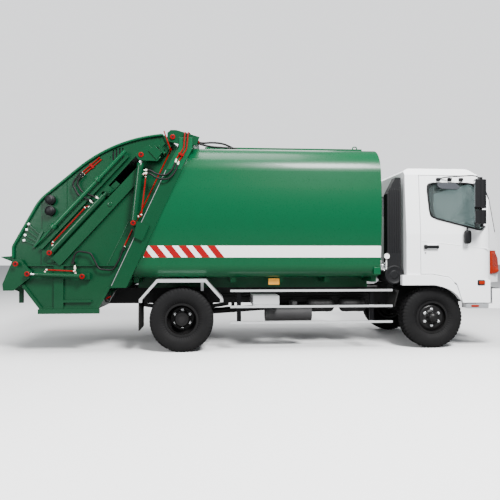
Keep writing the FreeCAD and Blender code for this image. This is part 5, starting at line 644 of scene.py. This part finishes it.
roof_union = [pillow(at(0.180, -0.690, 2.845), (0.045, 0.030, 0.020), 0.3)]
piece("roof_union", roof_union, FINISHES["pipe_red"], "chassis")
ROOF_HOSES = (
    (at(0.090, -0.700, 2.870), at(0.200, -0.640, 2.835), at(0.380, -0.600, 2.800), at(0.690, -0.560, 2.795),
     at(0.760, -0.500, 2.790), at(0.780, -0.440, 2.785)),
    (at(0.130, -0.700, 2.870), at(0.240, -0.620, 2.842), at(0.400, -0.560, 2.872), at(0.560, -0.520, 2.866),
     at(0.690, -0.480, 2.815), at(0.740, -0.440, 2.795)))
hoses = [tube(route, ROOF_HOSE_RADIUS, bend=0.10) for route in ROOF_HOSES]
piece("roof_hoses", hoses, FINISHES["hose_black"], "chassis")
crossing = [at(-0.228, -1.108, 2.895), at(-0.190, -1.108, 2.780), at(-0.148, -1.090, 2.665),
            at(-0.155, -1.012, 2.630)]
edge = tube(crossing, PIPE_RADIUS, bend=0.05)
piece("edge_pipe_top", [edge], FINISHES["pipe_red"], "tailgate")
cover = from_axle(((-0.609, 1.508), (-0.566, 1.715), (-0.408, 1.656), (-0.497, 1.457)))
for side_name, side in SIDES:
    piece(f"foot_cover_{side_name}", [prism(cover, side * 1.1315, side * 1.165)], TAIL_GREEN_SHADED, "chassis",
          smooth=False)

# Tailgate: lift bracket, cylinder glands, rim, guide bar, welds and a seam, and painted shade in the vent,
# the slot and the holes


def side_plate(outline, side, low, high):
    """A plate whose outline is given from the rear axle, between two distances from the middle."""
    return prism(from_axle(outline), side * low, side * high)


def gland(foot, eye, y, start, end, radius):
    """Collar that carries a barrel on to its rod's seal."""
    run = (eye[0] - foot[0], 0, eye[1] - foot[1])
    return lathe([(start, 0), (start, radius), (end - 0.006, radius), (end, radius * 0.9), (end, 0)],
                 on(foot, y), run, 32)


def curve(before, corner, after, reach, steps=14):
    """Quadratic curve that leaves and meets two straight edges at the same reach from their corner."""
    before, corner, after = (np.array(place, float) for place in (before, corner, after))
    near = corner + (before - corner) * reach / np.linalg.norm(before - corner)
    far = corner + (after - corner) * reach / np.linalg.norm(after - corner)
    share = np.linspace(0, 1, steps)[:, None]
    return bend_curve(near, corner, far, share)


EYE_PLATE = ((-0.583, 2.552), (-0.574, 2.592), (-0.513, 2.635), (-0.417, 2.706), (-0.262, 2.540),
             (-0.308, 2.492), (-0.543, 2.498))
EYE_BOX = ((-0.423, 2.623), (-0.345, 2.698), (-0.245, 2.602), (-0.318, 2.509))
ARM_FLANGE = ((-0.314, 2.692), (-0.294, 2.708), (-0.202, 2.605), (-0.225, 2.579))
HINGE_ARM = ((-0.314, 2.707), (-0.221, 2.811), (-0.129, 2.718), (-0.212, 2.601))
ROOF_END, CROWN, BACK = (-0.262, 2.864), (-0.911, 2.772), (-1.832, 1.988)
LIP, LIP_FOOT = (-2.164, 1.385), (-2.164, 1.240)
RIM = np.concatenate([[ROOF_END], curve(ROOF_END, CROWN, BACK, 0.582), curve(CROWN, BACK, LIP, 0.110),
                      [LIP, LIP_FOOT]])
GUIDE_TOP, GUIDE_COLLAR, GUIDE_TIP = (-0.728, 2.633), (-1.636, 1.646), (-1.892, 1.383)
VENT = ((-0.95, 2.54), (-0.875, 2.49), (-0.76, 2.54), (-0.72, 2.635), (-0.77, 2.705), (-0.91, 2.67))
SLOT = ((-0.462, 2.693), (-0.405, 2.761), (-0.354, 2.769), (-0.418, 2.699))
for side_name, side in SIDES:
    bracket = [side_plate(EYE_PLATE, side, 1.1485, 1.157), side_plate(EYE_BOX, side, 1.000, 1.170),
               side_plate(ARM_FLANGE, side, 1.000, 1.148), side_plate(HINGE_ARM, side, 1.000, 1.055)]
    soften(piece(f"lift_bracket_{side_name}", bracket, TAIL_GREEN_SHADED, "tailgate", False), 0.003)
    collar = gland(LIFT_FOOT, LIFT_PIN, side * LIFT_Y, 0.725, 0.784, 0.0435)
    piece(f"lift_gland_{side_name}", [collar], TAIL_GREEN_SHADED, "lift_barrel")
    collar = gland(LIFTER_FOOT, LIFTER_EYE, side * LIFTER_Y, 0.555, 0.606, 0.0295)
    piece(f"lifter_gland_{side_name}", [collar], TAIL_GREEN_SHADED, "lifter_barrel")
    rim = tube([at(x, side * 1.020, z) for x, z in RIM], 0.018, bend=0.02, count=12)
    piece(f"tail_rim_{side_name}", [rim], FINISHES["body_green"], "tailgate")
    bar_y = side * 1.082
    slope = np.subtract(GUIDE_TOP, GUIDE_TIP)
    run = (slope[0], 0, slope[1])
    bar = [tube([on(GUIDE_COLLAR, bar_y), on(GUIDE_TOP, bar_y)], 0.025, count=20),
           tube([on(GUIDE_TIP, side * 1.030), on(GUIDE_COLLAR, bar_y)], 0.013, count=12)]
    for x, z in (GUIDE_COLLAR, (-1.077, 2.258)):
        bar.append(lathe([(-0.022, 0.022), (-0.022, 0.040), (0.022, 0.040), (0.022, 0.022)], at(x, bar_y, z),
                         run, 24))
        bar.append(pillow(at(x, side * 1.040, z), (0.028, 0.042, 0.028), 0.3))
        bar.append(lathe([(0, 0.024), (0.012, 0.024), (0.012, 0.010), (0.020, 0.010), (0.020, 0)],
                         at(x + 0.062, side * 1.0, z - 0.004), (0, side, 0), 20))
    piece(f"guide_bar_{side_name}", bar, FINISHES["body_green"], "tailgate")
    boss = lathe([(0, 0.032), (0.008, 0.030), (0.010, 0.026), (0.010, 0.012), (0.006, 0.010), (0.006, 0)],
                 at(-0.928, side * 1.055, 1.938), (0, side, 0), 28)
    welds = [tube([at(-1.491, side * 1.001, 1.890), at(-1.491, side * 1.001, 2.307)], 0.005, count=8),
             tube([at(-0.690, side * 1.001, 1.724), at(-0.978, side * 1.001, 1.127)], 0.006, count=8)]
    piece(f"tail_welds_{side_name}", [boss] + welds, TAIL_GREEN_SHADED, "tailgate")
    # Black plates and discs are painted shade: a back behind the vent's bars, a thin sheet on the slot and a
    # disc at each hole stand for the dark inside these openings. The thin strip is the dark seam line.
    shade_plates_and_seam = [side_plate(VENT, side, 0.968, 0.984), side_plate(SLOT, side, 1.000, 1.0015),
            pillow(at(-1.818, side * 1.000, 1.256), (0.004, 0.0015, 0.128), 0.2)]
    shaded_holes = [lathe([(0, 0.008), (0.0015, 0.008), (0.0015, 0)], at(-1.809, side * SIDE_PLATE, z),
                   (0, side, 0), 10) for z in np.linspace(1.628, 1.992, 13)]
    piece(f"tail_opening_shades_and_seam_{side_name}", shade_plates_and_seam + shaded_holes, FINISHES["plastic_black"], "tailgate",
          False)
hose_ends = [fitting(-1.306, -1.013, 2.341, math.radians(42), 0.050, 0.010),
             fitting(-1.283, -1.013, 2.315, math.radians(42), 0.050, 0.010),
             fitting(-0.757, -1.012, 1.360, math.radians(65), 0.070, 0.012),
             fitting(-1.165, -1.072, 1.970, math.radians(138), 0.050, 0.011),
             fitting(-1.095, -1.072, 2.022, math.radians(138), 0.050, 0.011),
             fitting(-1.372, -1.060, 1.110, math.radians(90), 0.070, 0.011)]
piece("tail_hose_ends", hose_ends, CREAM, "tailgate")
drain = [lathe([(-0.04, 0), (-0.04, 0.022), (-0.01, 0.022), (-0.01, 0.030), (0.03, 0.030), (0.03, 0)],
               at(-0.985, -0.960, 0.690), (0.6, 0, -0.8), 20)]
piece("drain_valve", drain, FINISHES["plastic_black"], "tailgate")
handle = tube([at(-0.985, -0.985, 0.700), at(-0.960, -1.000, 0.720), at(-0.925, -1.000, 0.735)], 0.008)
piece("drain_handle", [handle], FINISHES["pipe_red"], "tailgate")

# Controls: white knobs and domed lamps

for number in range(4):
    angle = math.radians(137 + 7 * number)
    reach = 0.207 * (1 - number / 12)
    x = -1.822 - 0.043 * number / 2 + math.cos(angle) * reach
    z = 1.536 - 0.043 * number + math.sin(angle) * reach
    arc = np.linspace(-math.pi / 2, math.pi / 2, 11)
    ball = np.stack([0.018 * np.sin(arc), 0.018 * np.cos(arc)], axis=1)
    knob = lathe(ball, at(x, -SIDE_PLATE - 0.015, z), (0, -1, 0), 20)
    piece(f"knob_{number}", [knob], KNOB_WHITE, "tailgate")
for number in range(2):
    dome = [(0, 0.055), (0.004, 0.062), (0.012, 0.062), (0.018, 0.052), (0.030, 0.046), (0.040, 0.030),
            (0.043, 0)]
    centre = at(-1.692, -SIDE_PLATE - 0.060, 1.990 - 0.1426 * number)
    piece(f"lamp_dome_{number}", [lathe(dome, centre, (0, -1, 0), 28)], FINISHES["plastic_black"], "tailgate")

# Cab

WINDOW = ((3.336, 2.264), (3.371, 1.796), (4.119, 1.606), (4.014, 2.264))
VISOR = ((3.473, 2.261), (3.735, 2.260), (3.791, 2.210), (3.756, 2.175), (3.523, 2.182), (3.473, 2.213))
MIRRORS = ((1.903, 2.277), (1.697, 1.867))
MIRROR_EDGE = 0.012
MIRROR_WEDGE = ((3.943, 1.142), (3.943, 1.318), (3.868, 1.318))
MIRROR_GLASS = ((3.932, 1.152), (3.866, 1.308), (3.862, 1.306), (3.928, 1.150))
LENS_FOOT, LENS_NOSE = (4.226, 1.0045), (4.435, 0.830)
LENS_LOW, LENS_HIGH = 1.014, 1.320
LENS_SEAT = 0.013


def upright(outline, side, low, high):
    """A plan outline of (x, distance from the middle), carried from one height to another."""
    points, quads = prism([(REAR_AXLE + x, side * y) for x, y in outline], low, high)
    return points[:, [0, 2, 1]], quads[:, ::-1]


def lamp_lens(side):
    """Corner lens: p = foot + u·reach(z)·(nose - foot) + d(u, z)·n, with a bulb's swell and ribs in d."""
    z = np.linspace(LENS_LOW, LENS_HIGH, 69)[None, :]
    u = np.linspace(0, 1, 17)[:, None]
    reach = np.interp(z, (LENS_LOW, 1.055, 1.100, 1.235, 1.300, LENS_HIGH),
                      (0.72, 1.0, 0.98, 0.88, 0.62, 0.40))
    to_end = np.minimum(z - LENS_LOW, LENS_HIGH - z)
    rim = np.minimum(1.0, 12 * np.minimum(u, 1 - u)) * np.minimum(1.0, 60 * to_end)
    bulb = 0.030 * np.exp(-((u - 0.62) ** 2 / 0.05 + (z - 1.060) ** 2 / 0.0010))
    ribs = 0.0025 * np.cos(2 * math.pi * z / 0.018) * (z > 1.120)
    slope = np.subtract(LENS_NOSE, LENS_FOOT)
    out = np.array([-slope[1], slope[0]]) / np.linalg.norm(slope)

    def skin(depth):
        """The lens face, at a depth out from the line between foot and nose."""
        x = REAR_AXLE + LENS_FOOT[0] + u * reach * slope[0] + depth * out[0]
        y = side * (LENS_FOOT[1] + u * reach * slope[1] + depth * out[1])
        return np.stack([x, y, z + 0 * x], axis=2)

    face = skin(LENS_SEAT + rim * (0.012 + bulb + ribs))
    return [grid(face, flip=side > 0), grid(skin(LENS_SEAT), flip=side < 0)]


def window_loop(side, lift=0.004):
    """The door window's corners, a little outside the cab's flank."""
    return [at(x, side * (cab_y(z) + lift), z) for x, z in WINDOW]


for side_name, side in SIDES:
    door = f"door_{side_name}"
    rubber = tube(window_loop(side), 0.013, bend=0.10, closed=True)
    piece(f"window_rubber_{side_name}", [rubber], FINISHES["plastic_black"], door)
    visor = [side_plate(VISOR, side, 1.002, 1.050)]
    soften(piece(f"visor_{side_name}", visor, VISOR_GREY, door, False), 0.010, 3)
    handle = [pillow(at(3.373, side * 1.084, 1.388), (0.100, 0.013, 0.021), 0.35),
              pillow(at(3.290, side * 1.076, 1.388), (0.024, 0.018, 0.030), 0.5),
              pillow(at(3.455, side * 1.076, 1.388), (0.016, 0.018, 0.026), 0.5)]
    piece(f"handle_{side_name}", handle, FINISHES["plastic_black"], door)
    lock = lathe([(0, 0), (0, 0.014), (0.006, 0.012), (0.006, 0)], at(3.290, side * 1.060, 1.308),
                 (0, side, 0), 16)
    piece(f"lock_{side_name}", [lock], NUT_ZINC, door)
    crease = tube([at(x, side * 1.0585, z) for x, z in ((3.240, 1.467), (3.75, 1.415), (4.195, 1.359))],
                  0.0055, count=8)
    piece(f"crease_{side_name}", [crease], FINISHES["cab_white"], door)
    bezel = pillow(at(4.074, side * 1.063, 0.900), (0.053, 0.010, 0.036), 0.3)
    piece(f"marker_bezel_{side_name}", [bezel], FINISHES["plastic_black"], door)
    lens = pillow(at(4.078, side * 1.074, 0.900), (0.040, 0.009, 0.022), 0.4)
    piece(f"marker_{side_name}", [lens], FINISHES["lamp_orange"], door)
    step = pillow(at(4.020, side * 1.058, 0.580), (0.160, 0.004, 0.032), 0.2)
    piece(f"step_face_{side_name}", [step], STEP_GREY, "chassis")
    lens = pillow(at(3.985, side * 1.064, 0.582), (0.055, 0.005, 0.013), 0.4)
    piece(f"step_marker_{side_name}", [lens], FINISHES["lamp_orange"], "chassis")
    housings = [upright(MIRROR_WEDGE, side, low, high) for low, high in MIRRORS]
    housing = piece(f"mirror_housings_{side_name}", housings, FINISHES["plastic_black"], door,
                    False)
    soften(housing, 0.008)
    mirrors = [upright(MIRROR_GLASS, side, low + MIRROR_EDGE, high - MIRROR_EDGE) for low, high in MIRRORS]
    piece(f"mirror_faces_{side_name}", mirrors, MIRROR_FACE, door, False)
    piece(f"corner_lens_{side_name}", lamp_lens(side), FINISHES["lamp_orange"], "cab")
    corner = [at(nose_x(z) - 0.003, side * (min(cab_y(z), 1.060 - (nose_x(z) - 4.159) / 1.2) - 0.003), z)
              for z in (1.600, 1.750, 1.900, 2.050, 2.200, 2.300)]
    piece(f"pillar_trim_{side_name}", [tube(corner, 0.010, count=8)], FINISHES["plastic_black"], "cab")
    lining = [pillow(at(3.400, side * 0.940, 2.000), (0.055, 0.020, 0.360), 0.3),
              pillow(at(3.750, side * 0.880, 2.335), (0.420, 0.060, 0.030), 0.3),
              pillow(at(4.120, side * 0.870, 1.950), (0.030, 0.030, 0.340), 0.4)]
    piece(f"cab_lining_{side_name}", lining, TRIM_DARK, "cab")
    stay = tube([at(3.50, side * 0.992, 2.325), at(3.60, side * 1.03, 2.345), at(3.92, side * 1.17, 2.352),
                 at(3.99, side * 1.23, 2.30)], 0.008, count=8)
    clamps = [pillow(at(x, side, 2.318), (0.030, 0.020, 0.022), 0.4) for x in (3.50, 3.66, 3.82)]
    piece(f"mirror_stays_{side_name}", [stay] + clamps, FINISHES["plastic_black"], door)

kerb = [pillow(at(3.857, -1.115, 1.520), (0.044, 0.038, 0.092), 0.45),
        tube([at(3.860, -1.105, 1.600), at(3.866, -1.090, 1.640), at(3.880, -1.062, 1.662)], 0.010)]
piece("kerb_mirror", kerb, FINISHES["plastic_black"], "door_right")
screen = [at(nose_x(z) + 0.006, y, z)
          for y, z in ((-0.843, 1.63), (-0.809, 2.324), (0.809, 2.324), (0.843, 1.63))]
piece("screen_rubber", [tube(screen, 0.016, bend=0.07, closed=True)], FINISHES["plastic_black"], "cab")
for number, start in enumerate((-0.55, 0.02, 0.58)):
    wiper = tube([at(nose_x(1.585) + 0.030, start, 1.585), at(nose_x(1.70) + 0.026, start + 0.16, 1.70),
                  at(nose_x(1.74) + 0.022, start + 0.30, 1.74)], 0.006, count=8)
    blade = tube([at(nose_x(1.665) + 0.018, start - 0.02, 1.665),
                  at(nose_x(1.78) + 0.018, start + 0.44, 1.78)], 0.006, count=8)
    boss = lathe([(-0.01, 0), (-0.01, 0.02), (0.03, 0.018), (0.03, 0)],
                 at(nose_x(1.585) + 0.010, start, 1.585), (1, 0, 0.2), 16)
    piece(f"wiper_{number}", [wiper, blade, boss], FINISHES["plastic_black"], "cab")

# Chassis fittings

ribs = [pillow(at(x, -0.9815, 1.745), (0.006, 0.006, 0.44), 0.3) for x in np.linspace(2.83, 2.955, 5)]
drum = lathe([(0, 0.128), (0.006, 0.128), (0.010, 0.112), (0.004, 0.100), (0.004, 0.060), (0.012, 0.050),
              (0.012, 0)], at(2.885, -0.980, 1.008), (0, -1, 0), 36)
piece("intake_ribs", ribs + [drum], FINISHES["plastic_black"], "chassis")
gauge = lathe([(0, 0), (0, 0.034), (0.030, 0.034), (0.034, 0.037), (0.040, 0.037), (0.040, 0.032),
               (0.036, 0.030), (0.036, 0)], at(2.780, -0.955, 1.262), (0, -1, 0), 28)
stem = tube([at(2.780, -0.965, 1.23), at(2.780, -0.965, 1.06), at(2.79, -0.90, 1.02),
             at(2.81, -0.84, 1.00)], PIPE_RADIUS)
piece("filter_gauge", [gauge, stem], KNOB_WHITE, "chassis")
valves = []
for x, z, radius in ((2.705, 1.185, 0.014), (2.725, 1.135, 0.020), (2.775, 1.120, 0.012),
                     (2.715, 1.080, 0.014), (2.755, 1.165, 0.010)):
    plug = [(0, 0), (0, radius), (0.05, radius), (0.055, radius * 0.6), (0.055, 0)]
    valves.append(lathe(plug, at(x, -0.92, z), (0, -1, 0), 14, hexagon))
valves.append(tube([at(2.705, -0.95, 1.20), at(2.705, -0.95, 1.10), at(2.76, -0.95, 1.06),
                    at(2.78, -0.93, 1.15)], 0.008))
valves.append(tube([at(2.66, -0.90, 1.13), at(2.735, -0.93, 1.13), at(2.80, -0.90, 1.00)], 0.010))
piece("valve_group", valves, NUT_ZINC, "chassis")
box_face = pillow(at(2.620, -1.040, 1.063), (0.047, 0.030, 0.050), 0.15)
piece("terminal_box", [box_face], FINISHES["body_green"], "chassis")
plate = pillow(at(1.241, -0.872, 0.915), (0.075, 0.003, 0.042), 0.12)
piece("sill_plate", [plate], PLATE_YELLOW, "chassis")
eyes = []
for side_name, side in SIDES:
    y = side * 0.312
    loop = [at(x, y, z) for x, z in ((2.49, 2.845), (2.49, 2.888), (2.55, 2.888), (2.55, 2.845))]
    eyes.append(tube(loop, 0.009, bend=0.03))
piece("lifting_eyes", eyes, FINISHES["body_green"], "chassis")

AIR_TANK = (-0.545, 0.56)
air = []
for x in (1.95, 2.42):
    shell = [(-0.20, 0), (-0.195, 0.05), (-0.17, 0.085), (-0.14, 0.095), (0.14, 0.095), (0.17, 0.085),
             (0.195, 0.05), (0.20, 0)]
    air.append(lathe(shell, at(x, *AIR_TANK), (1, 0, 0), 32))
    for strap in (-0.09, 0.09):
        band = [(-0.014, 0.09), (-0.014, 0.098), (0.014, 0.098), (0.014, 0.09)]
        air.append(lathe(band, at(x + strap, *AIR_TANK), (1, 0, 0), 32))
air.append(tube([at(0.55, -0.46, 0.72), at(1.2, -0.47, 0.70), at(2.0, -0.46, 0.70),
                 at(2.7, -0.48, 0.72)], 0.011))
air.append(tube([at(0.55, -0.46, 0.68), at(1.3, -0.46, 0.66), at(2.2, -0.47, 0.67),
                 at(2.7, -0.48, 0.66)], 0.008))
piece("air_tanks", air, FINISHES["frame_black"], "chassis")

# Stage, light and camera


FLOOR_REACH = 60
FLOOR_SEEN, FLOOR_BOUNCED = (0.80, 0.80, 0.80), (0.26, 0.26, 0.26, 1)
SKY_SOFT, SKY_SOFT_STRENGTH = (0.93, 0.96, 1.0, 1), 0.5
SKY_SEEN, SKY_SEEN_STRENGTH = (0.97, 0.98, 1.0, 1), 1.6
LAMPS = (
    ("key", (3.0, -8.0, 9.0), 3.0, 3600.0, (44, 0, 18)), ("top", (-1.0, -1.5, 11.0), 6.0, 1500.0, (6, 0, 0)),
    ("fill", (-7.0, -8.0, 4.0), 4.0, 700.0, (66, 0, -42)), ("back", (0.0, 9.0, 8.0), 7.0, 500.0, (-50, 0, 0)))


def stage():
    """Floor and backdrop, which look brighter to the camera than to the truck, and four soft lamps."""
    mesh = bpy.data.meshes.new("floor")
    corners = [(x * FLOOR_REACH, y * FLOOR_REACH, 0) for x, y in ((-1, -1), (1, -1), (1, 1), (-1, 1))]
    mesh.from_pydata(corners, [], [(0, 1, 2, 3)])
    pale = finish("pale_floor", FLOOR_SEEN, 0.85, spread=0.02, grain=(0.6, 12.0))
    tree = pale.node_tree
    colour = tree.nodes["Principled BSDF"].inputs["Base Color"]
    direct = tree.nodes.new("ShaderNodeMix")
    direct.data_type = "RGBA"
    direct.inputs["A"].default_value = FLOOR_BOUNCED
    tree.links.new(tree.nodes.new("ShaderNodeLightPath").outputs["Is Camera Ray"], direct.inputs["Factor"])
    tree.links.new(colour.links[0].from_socket, direct.inputs["B"])
    tree.links.new(direct.outputs["Result"], colour)
    mesh.materials.append(pale)
    floor = bpy.data.objects.new("floor", mesh)
    bpy.context.scene.collection.objects.link(floor)
    world = bpy.data.worlds.new("studio")
    bpy.context.scene.world = world
    world.use_nodes = True
    tree = world.node_tree
    soft = tree.nodes["Background"]
    soft.inputs["Color"].default_value = SKY_SOFT
    soft.inputs["Strength"].default_value = SKY_SOFT_STRENGTH
    backdrop = tree.nodes.new("ShaderNodeBackground")
    backdrop.inputs["Color"].default_value = SKY_SEEN
    backdrop.inputs["Strength"].default_value = SKY_SEEN_STRENGTH
    seen = tree.nodes.new("ShaderNodeMixShader")
    tree.links.new(tree.nodes.new("ShaderNodeLightPath").outputs["Is Camera Ray"], seen.inputs["Fac"])
    tree.links.new(soft.outputs["Background"], seen.inputs[1])
    tree.links.new(backdrop.outputs["Background"], seen.inputs[2])
    tree.links.new(seen.outputs["Shader"], tree.nodes["World Output"].inputs["Surface"])
    for name, place, size_m, power, tilt in LAMPS:
        lamp = bpy.data.lights.new(name, "AREA")
        lamp.size = size_m
        lamp.energy = power
        item = bpy.data.objects.new(name, lamp)
        item.location = place
        item.rotation_euler = [math.radians(angle) for angle in tilt]
        bpy.context.scene.collection.objects.link(item)


FOCAL_PIXELS = 524.7
PHOTO_PIXELS = 500
CAMERA_PLACE = (0.397, -8.0, 1.274)
CAMERA_TURN = (90.57, 0, -4.15)


def camera():
    """Seen from the right side, a little turned to the front, as the fit to the wheels gives it."""
    data = bpy.data.cameras.new("camera")
    data.sensor_width = 36.0
    data.lens = data.sensor_width * FOCAL_PIXELS / PHOTO_PIXELS
    item = bpy.data.objects.new("camera", data)
    item.location = at(*CAMERA_PLACE)
    item.rotation_euler = [math.radians(angle) for angle in CAMERA_TURN]
    bpy.context.scene.collection.objects.link(item)
    bpy.context.scene.camera = item


stage()
camera()
